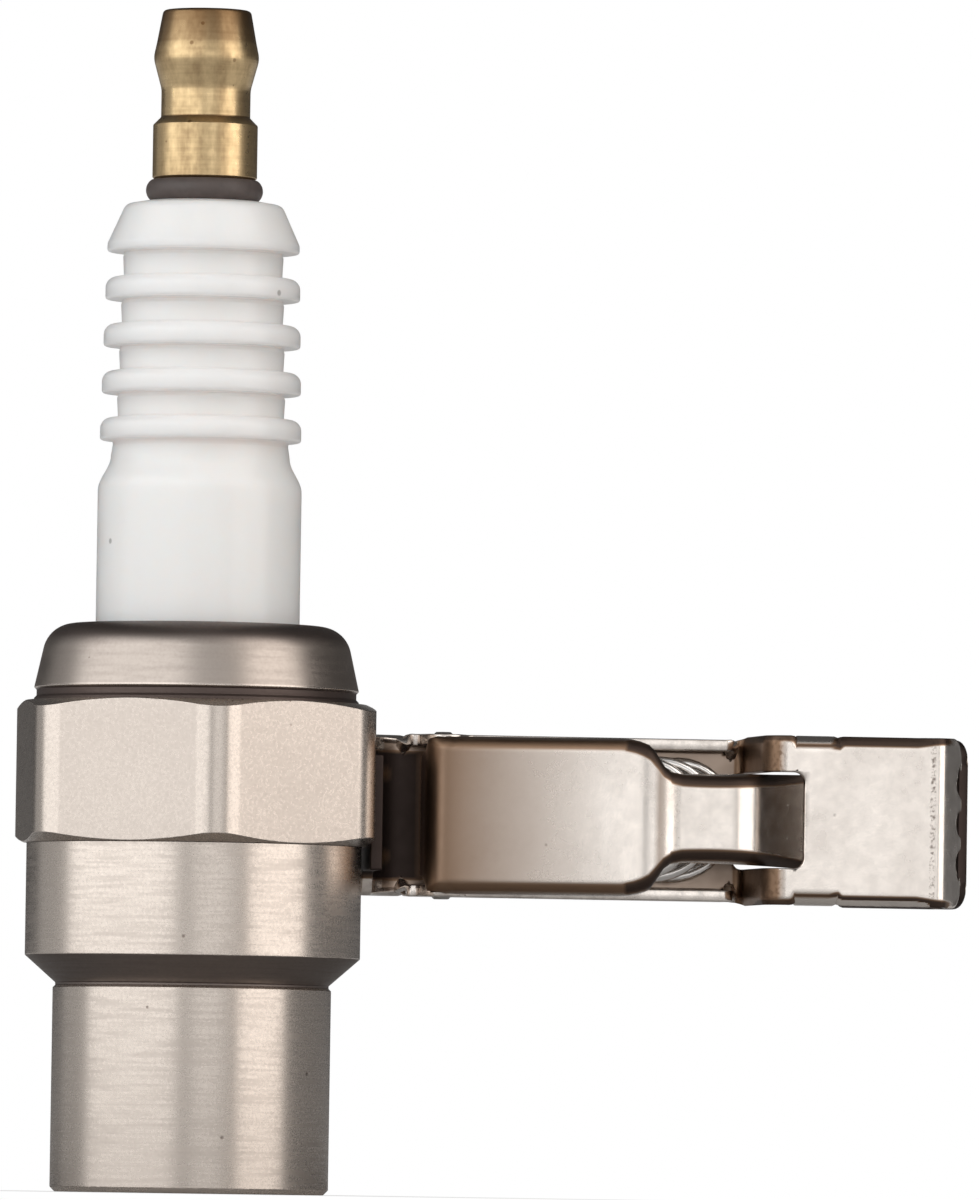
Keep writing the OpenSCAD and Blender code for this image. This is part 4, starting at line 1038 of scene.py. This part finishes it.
def mineral_finish(finish):
    """Pressed mineral and glass with a dull, uneven face."""
    made, tree, inputs = material("pressed_mineral")
    grain = use(tree, metal_grain, Fine=6000.0, Coarse=1200.0)
    darkness = 0.6
    dark = [c * darkness for c in finish.mineral]
    tone = blend_colour(tree, grain["Shade"], finish.mineral, dark)
    rough = ramp(tree, grain["Shade"], 0.0, 1.0, to_low=0.7, to_high=0.9)
    dress(tree, inputs, tone, rough, grain["Height"], 0.01 * MM)
    return made


def seen_white(tree, apart):
    """Share of white that a card shows: most to the camera, less in mirrors, and less near the tester."""
    rays = add_node(tree, "ShaderNodeLightPath").outputs
    mirror_share = ramp(tree, apart, 50 * MM, 150 * MM, to_high=0.35)
    direct_share = ramp(tree, apart, 10 * MM, 50 * MM, to_low=0.55)
    mirrored = math_node(tree, "MULTIPLY", rays["Is Glossy Ray"], mirror_share)
    direct = math_node(tree, "MAXIMUM", rays["Is Camera Ray"], rays["Is Transmission Ray"])
    return math_node(tree, "MAXIMUM", mirrored, math_node(tree, "MULTIPLY", direct, direct_share))


def card_finish(name, finish, shadowed):
    """Pale card that looks white; a shadowed one keeps the shadows near the tester."""
    made, tree, inputs = material(name, Roughness=0.9)
    inputs["Base Color"].default_value = (*finish.floor, 1.0)
    apart = 1.0
    if shadowed:
        apart = add_node(tree, "ShaderNodeVectorMath", {0: place(tree)}, operation="LENGTH").outputs["Value"]
    white = add_node(tree, "ShaderNodeEmission").outputs[0]
    shader = tree.nodes["Principled BSDF"].outputs[0]
    both = add_node(tree, "ShaderNodeMixShader", {0: seen_white(tree, apart), 1: shader, 2: white})
    link(tree, both.outputs[0], tree.nodes["Material Output"].inputs["Surface"])
    return made


def flat_card(name, corners, finish):
    """Flat four-cornered card of the stage."""
    mesh = bpy.data.meshes.new(name)
    mesh.from_pydata([tuple(c) for c in corners], [], [(0, 1, 2, 3)])
    mesh.materials.append(finish)
    obj = bpy.data.objects.new(name, mesh)
    bpy.context.scene.collection.objects.link(obj)
    return obj


# Operators, one for each piece or group of like pieces

class TESTER_OT_shell(bpy.types.Operator):
    """Turn the shell: barrel, tapered seat, body, hexagon and crimped collar"""
    bl_idname = "tester.shell"
    bl_label = "Shell"

    def execute(self, context):
        sizes, films = settings().shell, settings().films
        edge, sharp = sizes.edge, sizes.edge / 2
        corner_x = (sizes.flat_r - sizes.corner_round) / math.cos(math.pi / 6)
        corner_rise = corner_x + sizes.corner_round - sizes.flat_r
        flat_end = math.atan(corner_x / 2 / sizes.flat_r)

        def hexagon_at(a):
            """Radius of the hexagon at an angle, its corners rounded."""
            off = abs((a + math.pi / 6) % (math.pi / 3) - math.pi / 6)
            if off <= flat_end:
                return sizes.flat_r / math.cos(off)
            past = math.pi / 6 - off
            across = corner_x * math.sin(past)
            return corner_x * math.cos(past) + math.sqrt(sizes.corner_round ** 2 - across ** 2)

        foot_reliefs, steepness = 1.7, 2.5
        foot_z = sizes.collar_z + sizes.relief / 2
        side_z = sizes.collar_z + foot_reliefs * sizes.relief
        corner_r = sizes.flat_r / math.cos(flat_end)

        def filmed(r, z, edge_value):
            """Point with its edge value, and with painted shade on the seat, in the groove, on the hexagon
            and on the collar.
            """
            if sizes.barrel_len < z < sizes.body_z and r > sizes.bore_r + sizes.relief:
                return r, z, min(edge_value, -films.seat)
            if sizes.hex_top - sharp < z < foot_z and sizes.cavity_r < r < sizes.body_r:
                return r, z, min(edge_value, -films.groove)
            if r > sizes.flat_r - sharp:
                film = films.flat if r < corner_r else films.corner
                return r, z, min(edge_value, -film) if edge_value < 1 else edge_value
            if z > foot_z and r > sizes.lip_r:
                if z < side_z:
                    return r, z, -films.collar_foot
                # Painted shade, deeper towards the collar's rolled top.
                rolled = min(1.0, max(0.0, 2 + steepness * (z - sizes.collar_top) / sizes.roll_r))
                return r, z, -films.collar - films.roll * rolled
            return r, z, edge_value

        relief_r = sizes.barrel_r - sizes.relief
        band_r = sizes.collar_r - sizes.relief
        lean = sizes.collar_lean
        roll_z = sizes.collar_top - sizes.roll_r
        leant = (roll_z + sizes.roll_r * math.sin(lean) - sizes.collar_z - sizes.relief) * math.tan(lean)
        roll_x = sizes.collar_r - leant - sizes.roll_r * math.cos(lean)
        cavity_top = sizes.collar_top - sizes.lip_t
        inner = sizes.cavity_r - sizes.lip_r
        mouth_top = sizes.ledge_z - (sizes.bore_r - sizes.ledge_r)

        def outline_at(a):
            """Closed outline of the shell at an angle; only the hexagon changes with it."""
            hexagon = hexagon_at(a)
            drop = sharp + sizes.hex_chamfer * (hexagon - sizes.flat_r) / corner_rise
            return [filmed(*point) for point in soften([
                (sizes.bore_r, 0, edge),
                (sizes.barrel_r - sizes.mouth_chamfer, 0, edge),
                (sizes.barrel_r, sizes.mouth_chamfer, edge),
                (sizes.barrel_r, sizes.barrel_len - sizes.relief, sharp),
                (relief_r, sizes.barrel_len, sharp),
                (relief_r, sizes.barrel_len + sizes.relief, edge),
                (sizes.body_r, sizes.body_z, edge),
                (sizes.body_r, sizes.hex_z, sharp),
                (sizes.flat_r - sharp, sizes.hex_z, sharp),
                (hexagon, sizes.hex_z + drop, sharp),
                (hexagon, sizes.hex_top - drop, sharp),
                (sizes.flat_r - sharp, sizes.hex_top, sharp),
                (sizes.collar_r, sizes.hex_top, sharp),
                (sizes.collar_r, sizes.hex_top + sizes.relief, sharp),
                (band_r, sizes.hex_top + 2 * sizes.relief, sharp),
                (band_r, sizes.collar_z, sharp),
                (sizes.collar_r, sizes.collar_z + sizes.relief, edge),
                (sizes.collar_r - sizes.relief * math.tan(lean), sizes.collar_z + 2 * sizes.relief, 0),
                *curve(roll_x, roll_z, sizes.roll_r, sizes.roll_r, lean, math.pi / 2, steps=24),
                (sizes.lip_r, sizes.collar_top, edge),
                *curve(sizes.lip_r, cavity_top - inner, inner, inner, math.pi / 2, 0, steps=6),
                (sizes.cavity_r, sizes.cavity_z, 0),
                (sizes.ledge_r, sizes.ledge_top, edge),
                (sizes.ledge_r, sizes.ledge_z, edge),
                (sizes.bore_r, mouth_top, edge),
            ], closed=True)]

        piece("turned_shell", turned(outline_at, turns=480, closed=True), shell_finish(settings().finish),
              ["shell"])
        return {"FINISHED"}


class TESTER_OT_insulator(bpy.types.Operator):
    """Form the ribbed ceramic above the collar and its nose inside the barrel"""
    bl_idname = "tester.insulator"
    bl_label = "Insulator"

    def execute(self, context):
        sizes = settings().insulator
        edge = sizes.edge
        skirt_z = INSULATOR_TOP - sizes.skirt_h
        last_rib = sizes.rib_z + (sizes.rib_count - 1) * sizes.rib_pitch

        def core(z):
            """Radius of the core at a height."""
            return mix(sizes.core_r, sizes.core_top_r, (z - sizes.rib_z) / (last_rib - sizes.rib_z))

        def eave(z):
            """Core just under a rib: a low ridge with a fine groove above it."""
            under = core(z) + sizes.core_flare / 2
            return [(under, z - edge, edge / 2), (under - edge / 3, z, edge / 4)]

        def shoulder(t):
            """Corner at a share of the way from the smooth part to the waist."""
            ease = (1 - math.cos(math.pi * t)) / 2
            return mix(sizes.smooth_r, sizes.waist_r, ease), mix(sizes.smooth_top, sizes.waist_z, t), 0

        shoulder_steps = 16
        corners = [
            (sizes.electrode_r, sizes.tip_z, edge / 2),
            (sizes.tip_r, sizes.tip_z, edge * 2),
            (sizes.nose_r, sizes.nose_z, edge),
            (sizes.nose_r, sizes.nose_top, edge),
            (sizes.flange_r, sizes.flange_z, edge),
            (sizes.flange_r, sizes.flange_top, edge),
            (sizes.smooth_r, sizes.flange_top, edge / 2),
            *(shoulder(k / shoulder_steps) for k in range(shoulder_steps + 1)),
        ]
        for n in range(sizes.rib_count):
            z = sizes.rib_z + n * sizes.rib_pitch
            rim = sizes.rib_r - n * sizes.rib_taper
            root = core(z) - sizes.core_flare / 2
            brow = sizes.rib_brow
            corners += [
                *(eave(z) if n else [(sizes.waist_r - edge / 2, z, edge)]),
                (rim, z, sizes.rib_round),
                *curve(rim - brow, z + sizes.rib_thick - brow, brow, brow, 0, math.pi / 2),
                (root, z + sizes.rib_thick, edge / 3),
            ]
        corners += [
            *eave(skirt_z),
            (sizes.skirt_r, skirt_z, sizes.rib_round),
            (sizes.skirt_r, skirt_z + sizes.skirt_rim, edge * 2),
            (sizes.top_r, INSULATOR_TOP - sizes.top_fall, edge * 2),
            (RING_HIGH.x, INSULATOR_TOP, edge),
            (sizes.stud_r, INSULATOR_TOP, edge / 3),
            (sizes.stud_r, sizes.seat_z, edge / 3),
            (sizes.electrode_r, sizes.seat_z, edge / 3),
        ]
        outline = soften(corners, closed=True)
        piece("ribbed_insulator", turned(lambda a: outline, turns=256, closed=True),
              ceramic_finish(settings().finish), ["insulator"])
        return {"FINISHED"}


class TESTER_OT_terminal(bpy.types.Operator):
    """Turn the brass terminal nut and mould the rubber ring under it"""
    bl_idname = "tester.terminal"
    bl_label = "Terminal"

    def execute(self, context):
        sizes, films = settings().terminal, settings().films
        edge, fallen = sizes.edge, 0.35
        collar_top = NUT_LOW.z + sizes.collar_h
        neck_z = collar_top + sizes.chamfer
        neck_top = neck_z + sizes.neck_h
        bulge_z = neck_top + sizes.bulge_rise
        outline = soften([
            (0, NUT_LOW.z + sizes.hole_h, 0),
            (sizes.hole_r, NUT_LOW.z + sizes.hole_h, edge),
            (sizes.hole_r, NUT_LOW.z, edge),
            (sizes.collar_r - edge, NUT_LOW.z, edge / 2),
            (sizes.collar_r, NUT_LOW.z + edge, edge / 2),
            (sizes.collar_r, collar_top, edge),
            (sizes.neck_r, neck_z, edge),
            (sizes.neck_r, neck_top, sizes.neck_round),
            (sizes.bulge_r, bulge_z, sizes.bulge_round),
            (mix(sizes.bulge_r, sizes.top_r, fallen), NUT_HIGH.z - sizes.stain_h, sizes.bulge_round),
            (sizes.top_r, NUT_HIGH.z, sizes.crown),
            (0, NUT_HIGH.z, 0),
        ])

        def film(z, edge_value):
            """Edge value with painted shadow on the chamfer, and darker towards the nut's top."""
            # Painted shadow on the chamfer under the neck.
            if collar_top + edge / 2 < z < neck_z + edge / 2:
                return -films.nut_chamfer
            if z < neck_top - sizes.neck_round / 2:
                return edge_value
            # Darker towards the nut's top.
            darker = 0.5 + (z - NUT_HIGH.z + sizes.stain_h) / (4 * edge)
            return -films.nut_top * min(1.0, max(0.0, darker))

        filmed = [(r, z, film(z, edge_value)) for r, z, edge_value in outline]
        piece("brass_nut", turned(lambda a: filmed, turns=192), brass_finish(settings().finish),
              ["terminal_nut"])

        half = (RING_HIGH.z - RING_LOW.z) / 2
        middle = RING_LOW.z + half
        squash = 1.12
        section = curve(RING_HIGH.x - half, middle, half, half * squash, -math.pi / 2, math.pi * 1.5,
                        steps=48)
        ring = [(x, min(max(z, RING_LOW.z), RING_HIGH.z), 0.0) for x, z, _ in section[:-1]]
        piece("rubber_ring", turned(lambda a: ring, turns=192, closed=True), rubber_finish(settings().finish),
              ["o_ring"])
        return {"FINISHED"}


class TESTER_OT_base_lever(bpy.types.Operator):
    """Press the base lever: tab, channel with pin ears, slotted rise and toothed front jaw"""
    bl_idname = "tester.base_lever"
    bl_label = "Base lever"

    def execute(self, context):
        clip, films = settings().clip, settings().films
        strip = base_strip(clip)
        slot = strip.find(clip.slot_start), strip.find(clip.slot_end)
        corner_steps = 6
        fine = [clip.slot_round * k / corner_steps for k in range(corner_steps + 1)]
        grain = [strip.find(clip.front_nose_x + clip.grain_w * k / 2) for k in range(-5, 2)]
        rows = strip.samples(extra=[slot[0] + f for f in fine] + [slot[1] - f for f in fine] + grain)
        columns = strip.columns()
        gap_count = int(clip.jaw_half / clip.tooth_pitch)
        zone_radii = 2.5
        tooth_zone = strip.end - zone_radii * clip.tooth_r

        def scallop(place):
            """Depth of the tooth gaps at a place on the lip's end."""
            off = place.z - HINGE.z
            gap = max(1 - gap_count, min(gap_count - 1, round(off / clip.tooth_pitch))) * clip.tooth_pitch
            return math.sqrt(max(0.0, clip.tooth_r ** 2 - (off - gap) ** 2))

        def inside(s, c):
            """Whether a row and a column lie in the slot."""
            return slot[0] < s < slot[1] and abs(c) < strip.slot_share

        def eased(s, c):
            """Row and column of a point on the slot's edge, drawn onto its rounded corner."""
            height = abs(c) / strip.slot_share * clip.slot_half
            near = slot[0] if s - slot[0] < slot[1] - s else slot[1]
            ds, dh = abs(s - near), clip.slot_half - height
            small = 1e-9
            along = slot[0] - small < s < slot[1] + small
            if not (along and ds < clip.slot_round and -small < dh < clip.slot_round and min(ds, dh) < small):
                return s, c
            a = math.pi / 4 * (1 + (ds - dh) / clip.slot_round)
            ds = clip.slot_round * (1 - math.cos(a))
            dh = clip.slot_round * (1 - math.sin(a))
            height = (clip.slot_half - dh) * strip.slot_share / clip.slot_half
            return near + math.copysign(ds, (slot[0] + slot[1]) / 2 - near), math.copysign(height, c)

        grid = []
        for s in rows:
            row = []
            for c in columns:
                at_s, at_c = eased(s, c)
                if s > tooth_zone:
                    at_s -= scallop(strip.point(strip.end, c)) * (s - tooth_zone) / (strip.end - tooth_zone)
                row.append(strip.point(at_s, at_c))
            grid.append(row)

        def keep(i, k):
            """Whether a cell of the grid is sheet."""
            return not inside((rows[i] + rows[i + 1]) / 2, (columns[k] + columns[k + 1]) / 2)

        def pulled(s):
            """Stretch of the sheet at s; on the front jaw it shows as a line before the nose."""
            point, _, _, bend = strip.state(s)
            if point.y > 0 or point.x < clip.jaw_ear_end:
                return bend
            return -max(0.0, 1 - abs(point.x - clip.front_nose_x + clip.grain_w) / clip.grain_w)

        bends = [pulled(s) for s in rows]
        # Parts of a face's normal that tell its back, its front, the lower edge and the ears apart
        away_y, facing_y, low_z, ear_z, ear_fall = 0.1, -0.5, -0.4, 0.35, 3.6

        def recess(place, normal):
            """Painted shade in the hollow beside the hexagon, on the rising strips, ears and web and along
            the rolled edges.
            """
            if normal.y > away_y:
                return 0.0
            off = abs(place.z - HINGE.z)
            aside = clip.base_half - clip.edge_r - clip.sheet_t / 2 - off
            hollow = min(1.0, (HINGE.x - place.x) / clip.ear_r, aside / clip.flat_hem)
            # Painted glints: the hollow's painted shade is lifted at two spots.
            across = Vector((place.x - clip.flat_x - clip.weld_x, off - clip.weld_z)).length
            hollow -= films.weld * max(0.0, 1 - across / clip.weld_r)
            risen = films.rise * min(1.0, (place.x - clip.base_wall_end) / clip.wall_fade,
                                     (clip.slot_start + 2 * clip.jaw_bend - place.x) / clip.wall_fade)
            rolled = 0.0
            # Painted shade along the jaw's rolled edges and on its ears, by the slope of their faces.
            if place.x > clip.jaw_ear_end:
                rolled = edge_film(normal) * (1.0 if normal.z > low_z else films.low_edge)
            elif place.x > clip.slot_start + clip.jaw_bend:
                rolled = films.ear - abs(abs(normal.z) - ear_z) * ear_fall
            inner = films.web if normal.y < facing_y and place.y > clip.web_back - clip.sheet_t else 0.0
            return -max(0.0, hollow, risen, rolled, inner)

        solid = sheet_solid(grid, keep, bends, clip.sheet_t, clip.shear, True, recess)
        piece("pressed_base", solid, clip_finish(settings().finish), ["base_lever"])
        return {"FINISHED"}


class TESTER_OT_thumb_lever(bpy.types.Operator):
    """Press the thumb lever: rolled eye, thumb pad, neck, tongue and back jaw"""
    bl_idname = "tester.thumb_lever"
    bl_label = "Thumb lever"

    def execute(self, context):
        clip, films = settings().clip, settings().films
        strip = thumb_strip(clip)
        rows, columns = strip.samples(), strip.columns()
        grid = [[strip.point(s, c) for c in columns] for s in rows]
        bends = [strip.state(s)[3] for s in rows]
        away_y = 0.1

        def film(place, normal):
            """Painted shade that thins out along the pad, lies in a band behind its end, and on tongue, lip
            and edges.
            """
            if normal.y > away_y:
                return 0.0
            pad = films.pad * min(1.0, (clip.pad_end - place.x) / (clip.pad_end - HINGE.x))
            tongue = films.tongue * min(1.0, (place.x - clip.neck_end) / MM)
            tip = min(1.0, (place.x - clip.nose_x) / MM)
            band = films.pad_end * (1 - abs(place.x - clip.pad_end - MM) / clip.wall_fade)
            rolled = edge_film(normal) * (1.0 if place.x > clip.pad_end - MM else films.pad_edge)
            return -max(0.0, pad, tongue, tip, band, min(1.0, rolled))

        solid = sheet_solid(grid, lambda i, k: True, bends, clip.sheet_t, clip.shear, False, film)
        nickel = bpy.data.materials["bright_nickel"]
        piece("pressed_thumb", solid, nickel, ["thumb_lever"], THUMB)
        return {"FINISHED"}


class TESTER_OT_hinge_pin(bpy.types.Operator):
    """Turn the hinge pin and rivet its two ends over the ears"""
    bl_idname = "tester.hinge_pin"
    bl_label = "Hinge pin"

    def execute(self, context):
        radius = (PIN_HIGH.x - PIN_LOW.x) / 2
        half = (PIN_HIGH.z - PIN_LOW.z) / 2
        dome = radius / 2
        outline = soften([
            (0, -half, 0), (radius - dome / 2, -half, dome / 4), (radius, dome / 2 - half, dome / 4),
            (radius, half - dome / 2, dome / 4), (radius - dome / 2, half, dome / 4), (0, half, 0),
        ])
        bm = turned(lambda a: outline, turns=48)
        bmesh.ops.translate(bm, verts=bm.verts, vec=HINGE)
        finish = settings().finish
        piece("riveted_pin", bm, plain_metal("pin_steel", finish.steel, finish.tarnish, 0.28),
              ["hinge_pin"])
        return {"FINISHED"}


class TESTER_OT_spring(bpy.types.Operator):
    """Wind the coil spring that leans between the thumb pad and the web"""
    bl_idname = "tester.spring"
    bl_label = "Spring"

    def execute(self, context):
        sizes, clip = settings().spring, settings().clip
        foot = pad_foot(clip, clip.pad_slope)
        pad_y = foot.y - (sizes.pad_x - foot.x) * math.tan(clip.pad_slope)
        pad_y += clip.sheet_t / 2 / math.cos(clip.pad_slope)
        front = Vector((sizes.pad_x, pad_y + sizes.wire_r + sizes.pad_gap))
        rear = Vector((sizes.web_x, clip.web_back - clip.sheet_t - sizes.wire_r - sizes.web_gap))
        turn_steps, sides = 36, 14
        steps = int(sizes.turns * turn_steps)

        def wire(t):
            """Point on the wire's middle line at a share of the way from the pad to the web."""
            centre, tilt = front.lerp(rear, t), -clip.pad_slope * (1 - t)
            a = math.pi + math.tau * sizes.turns * t
            xy = centre + sizes.coil_r * math.cos(a) * heading_vector(tilt)
            return Vector((xy.x, xy.y, HINGE.z + sizes.coil_r * math.sin(a)))

        line = [wire(k / steps) for k in range(steps + 1)]
        bm = bmesh.new()
        rings = []
        for k, point in enumerate(line):
            run = (line[min(k + 1, steps)] - line[max(k - 1, 0)]).normalized()
            across = run.cross(Vector((0, 1, 0))).normalized()
            over = across.cross(run)
            rings.append([bm.verts.new(point + sizes.wire_r * (math.cos(a) * across + math.sin(a) * over))
                          for a in (math.tau * n / sides for n in range(sides))])
        for here, beyond in zip(rings, rings[1:]):
            for n in range(sides):
                m = (n + 1) % sides
                bm.faces.new((here[n], here[m], beyond[m], beyond[n]))
        bm.faces.new(reversed(rings[0]))
        bm.faces.new(rings[-1])
        bmesh.ops.recalc_face_normals(bm, faces=bm.faces)
        finish = settings().finish
        obj = piece("coil_spring", bm, plain_metal("spring_wire", finish.wire, finish.steel, 0.16),
                    ["clip_spring"], body=None)
        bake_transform(obj)
        return {"FINISHED"}


class TESTER_OT_inner_pieces(bpy.types.Operator):
    """Finish the pieces inside the plug: stud, electrode, seal, packing and washer"""
    bl_idname = "tester.inner_pieces"
    bl_label = "Inner pieces"

    def execute(self, context):
        finish = settings().finish
        steel = plain_metal("inner_steel", finish.steel, finish.tarnish, 0.3)
        copper = plain_metal("inner_copper", finish.copper, finish.tarnish, 0.3)
        mineral = mineral_finish(finish)
        finishes = {
            steel: ("terminal_stud", "centre_electrode", "upper_packing_ring", "lower_packing_ring"),
            copper: ("electrode_core", "seat_washer"),
            mineral: ("glass_seal", "talc_packing"),
        }
        for made, names in finishes.items():
            for name in names:
                slots = frame["nodes"][name].data.materials
                slots.clear()
                slots.append(made)
        return {"FINISHED"}


class TESTER_OT_stage(bpy.types.Operator):
    """Set the camera, the soft lamps, the pale floor and the backdrop"""
    bl_idname = "tester.stage"
    bl_label = "Stage"

    def execute(self, context):
        stage = settings().stage
        scene = context.scene
        scene.view_settings.view_transform = "Standard"

        to_camera = Vector((math.sin(stage.azimuth), -math.cos(stage.azimuth), 0))
        right = Vector((math.cos(stage.azimuth), math.sin(stage.azimuth), 0))
        up = Vector((0, 0, 1))
        tilted = (right * math.cos(stage.lean) + up * math.sin(stage.lean),
                  up * math.cos(stage.lean) - right * math.sin(stage.lean))
        px = MM / stage.px_per_mm
        middle = (tilted[0] * (stage.picture_px[0] / 2 - stage.foot_px[0]) * px
                  + tilted[1] * (stage.foot_px[1] - stage.picture_px[1] / 2) * px)
        eye = Vector((middle.x, middle.y, 0)) + to_camera * stage.distance + up * stage.eye
        data = bpy.data.cameras.new("camera")
        data.sensor_width = 36.0
        data.lens = data.sensor_width * (middle - eye).length / (stage.picture_px[1] * px)
        data.clip_start, data.clip_end = 0.01, 20.0
        camera = bpy.data.objects.new("camera", data)
        scene.collection.objects.link(camera)
        camera.location = eye
        aim = (eye - middle).normalized()
        side = (tilted[0] - aim * tilted[0].dot(aim)).normalized()
        over = aim.cross(side)
        camera.rotation_euler = Matrix((side, over, aim)).transposed().to_euler()
        scene.camera = camera

        plug_middle = 35 * MM

        def lamp(name, azimuth, height, distance, wide, high, radiance, tint=(1.0, 1.0, 1.0)):
            """Soft lamp that faces the plug's middle, unseen by the camera."""
            light = bpy.data.lights.new(name, "AREA")
            light.shape, light.size, light.size_y = "RECTANGLE", wide, high
            light.energy = radiance * math.pi * wide * high
            light.color = tint
            obj = bpy.data.objects.new(name, light)
            scene.collection.objects.link(obj)
            a = stage.azimuth + math.radians(azimuth)
            obj.location = Vector((math.sin(a), -math.cos(a), 0)) * distance + up * height
            obj.rotation_euler = (obj.location - up * plug_middle).to_track_quat("Z", "Y").to_euler()
            obj.visible_camera = False

        lamp("left_softbox", azimuth=-52, height=0.15, distance=0.6, wide=1.1, high=1.0, radiance=1.65)
        lamp("left_fill", azimuth=-112, height=0.15, distance=0.7, wide=0.5, high=1.2, radiance=0.3)
        lamp("right_softbox", azimuth=61, height=0.15, distance=0.6, wide=0.5, high=1.2, radiance=1.9,
             tint=(1.0, 0.95, 0.91))
        lamp("front_strip", azimuth=17, height=0.05, distance=1.2, wide=0.7, high=0.7, radiance=0.77)
        lamp("front_fill", azimuth=8, height=0.95, distance=1.3, wide=1.1, high=2.2, radiance=0.56)

        world = bpy.data.worlds.new("studio")
        world.use_nodes = True
        surround = world.node_tree.nodes["Background"].inputs
        surround["Color"].default_value = (1.0, 0.97, 0.96, 1.0)
        surround["Strength"].default_value = 0.07
        scene.world = world

        finish = settings().finish
        reach, far, wide, high = 2.4, 2.2, 0.2, 0.5
        ground = [(-reach, -reach, 0), (reach, -reach, 0), (reach, reach, 0), (-reach, reach, 0)]
        floor = flat_card("floor", ground, card_finish("pale_floor", finish, shadowed=True))
        foot = Vector((middle.x, middle.y, 0)) - to_camera * far
        left, beside = foot - right * wide, foot + right * wide
        upright = [left, beside, beside + up * high, left + up * high]
        card = flat_card("backdrop", upright, card_finish("white_card", finish, shadowed=False))
        return {"FINISHED"}


class TesterSettings(bpy.types.PropertyGroup):
    """All sizes, colours and shades of the tester"""
    shell: PointerProperty(type=ShellSizes)
    insulator: PointerProperty(type=InsulatorSizes)
    terminal: PointerProperty(type=TerminalSizes)
    clip: PointerProperty(type=ClipSizes)
    spring: PointerProperty(type=SpringSizes)
    finish: PointerProperty(type=Finishes)
    films: PointerProperty(type=Films)
    stage: PointerProperty(type=StageSizes)


OPERATORS = (TESTER_OT_shell, TESTER_OT_insulator, TESTER_OT_terminal, TESTER_OT_base_lever,
             TESTER_OT_thumb_lever, TESTER_OT_hinge_pin, TESTER_OT_spring, TESTER_OT_inner_pieces,
             TESTER_OT_stage)


class TESTER_PT_panel(bpy.types.Panel):
    """Sizes, colours and steps of the tester"""
    bl_idname = "TESTER_PT_panel"
    bl_label = "Spark plug tester"
    bl_space_type = "VIEW_3D"
    bl_region_type = "UI"
    bl_category = "Tester"

    def draw(self, context):
        for operator in OPERATORS:
            self.layout.operator(operator.bl_idname)
        for group in TesterSettings.__annotations__:
            box = self.layout.box()
            box.label(text=group.capitalize())
            values = getattr(settings(), group)
            for name in type(values).__annotations__:
                box.prop(values, name)


CLASSES = (ShellSizes, InsulatorSizes, TerminalSizes, ClipSizes, SpringSizes, Finishes, Films,
           StageSizes, TesterSettings, *OPERATORS, TESTER_PT_panel)


def register():
    """Register every class and hang the settings on the scene."""
    for cls in CLASSES:
        bpy.utils.register_class(cls)
    bpy.types.Scene.tester = PointerProperty(type=TesterSettings)


def unregister():
    """Take away what register() added."""
    del bpy.types.Scene.tester
    for cls in reversed(CLASSES):
        bpy.utils.unregister_class(cls)


def main():
    """Build every piece."""
    register()
    bpy.ops.tester.shell()
    bpy.ops.tester.insulator()
    bpy.ops.tester.terminal()
    bpy.ops.tester.base_lever()
    bpy.ops.tester.thumb_lever()
    bpy.ops.tester.hinge_pin()
    bpy.ops.tester.spring()
    bpy.ops.tester.inner_pieces()
    bpy.ops.tester.stage()


if __name__ == "__main__":
    main()
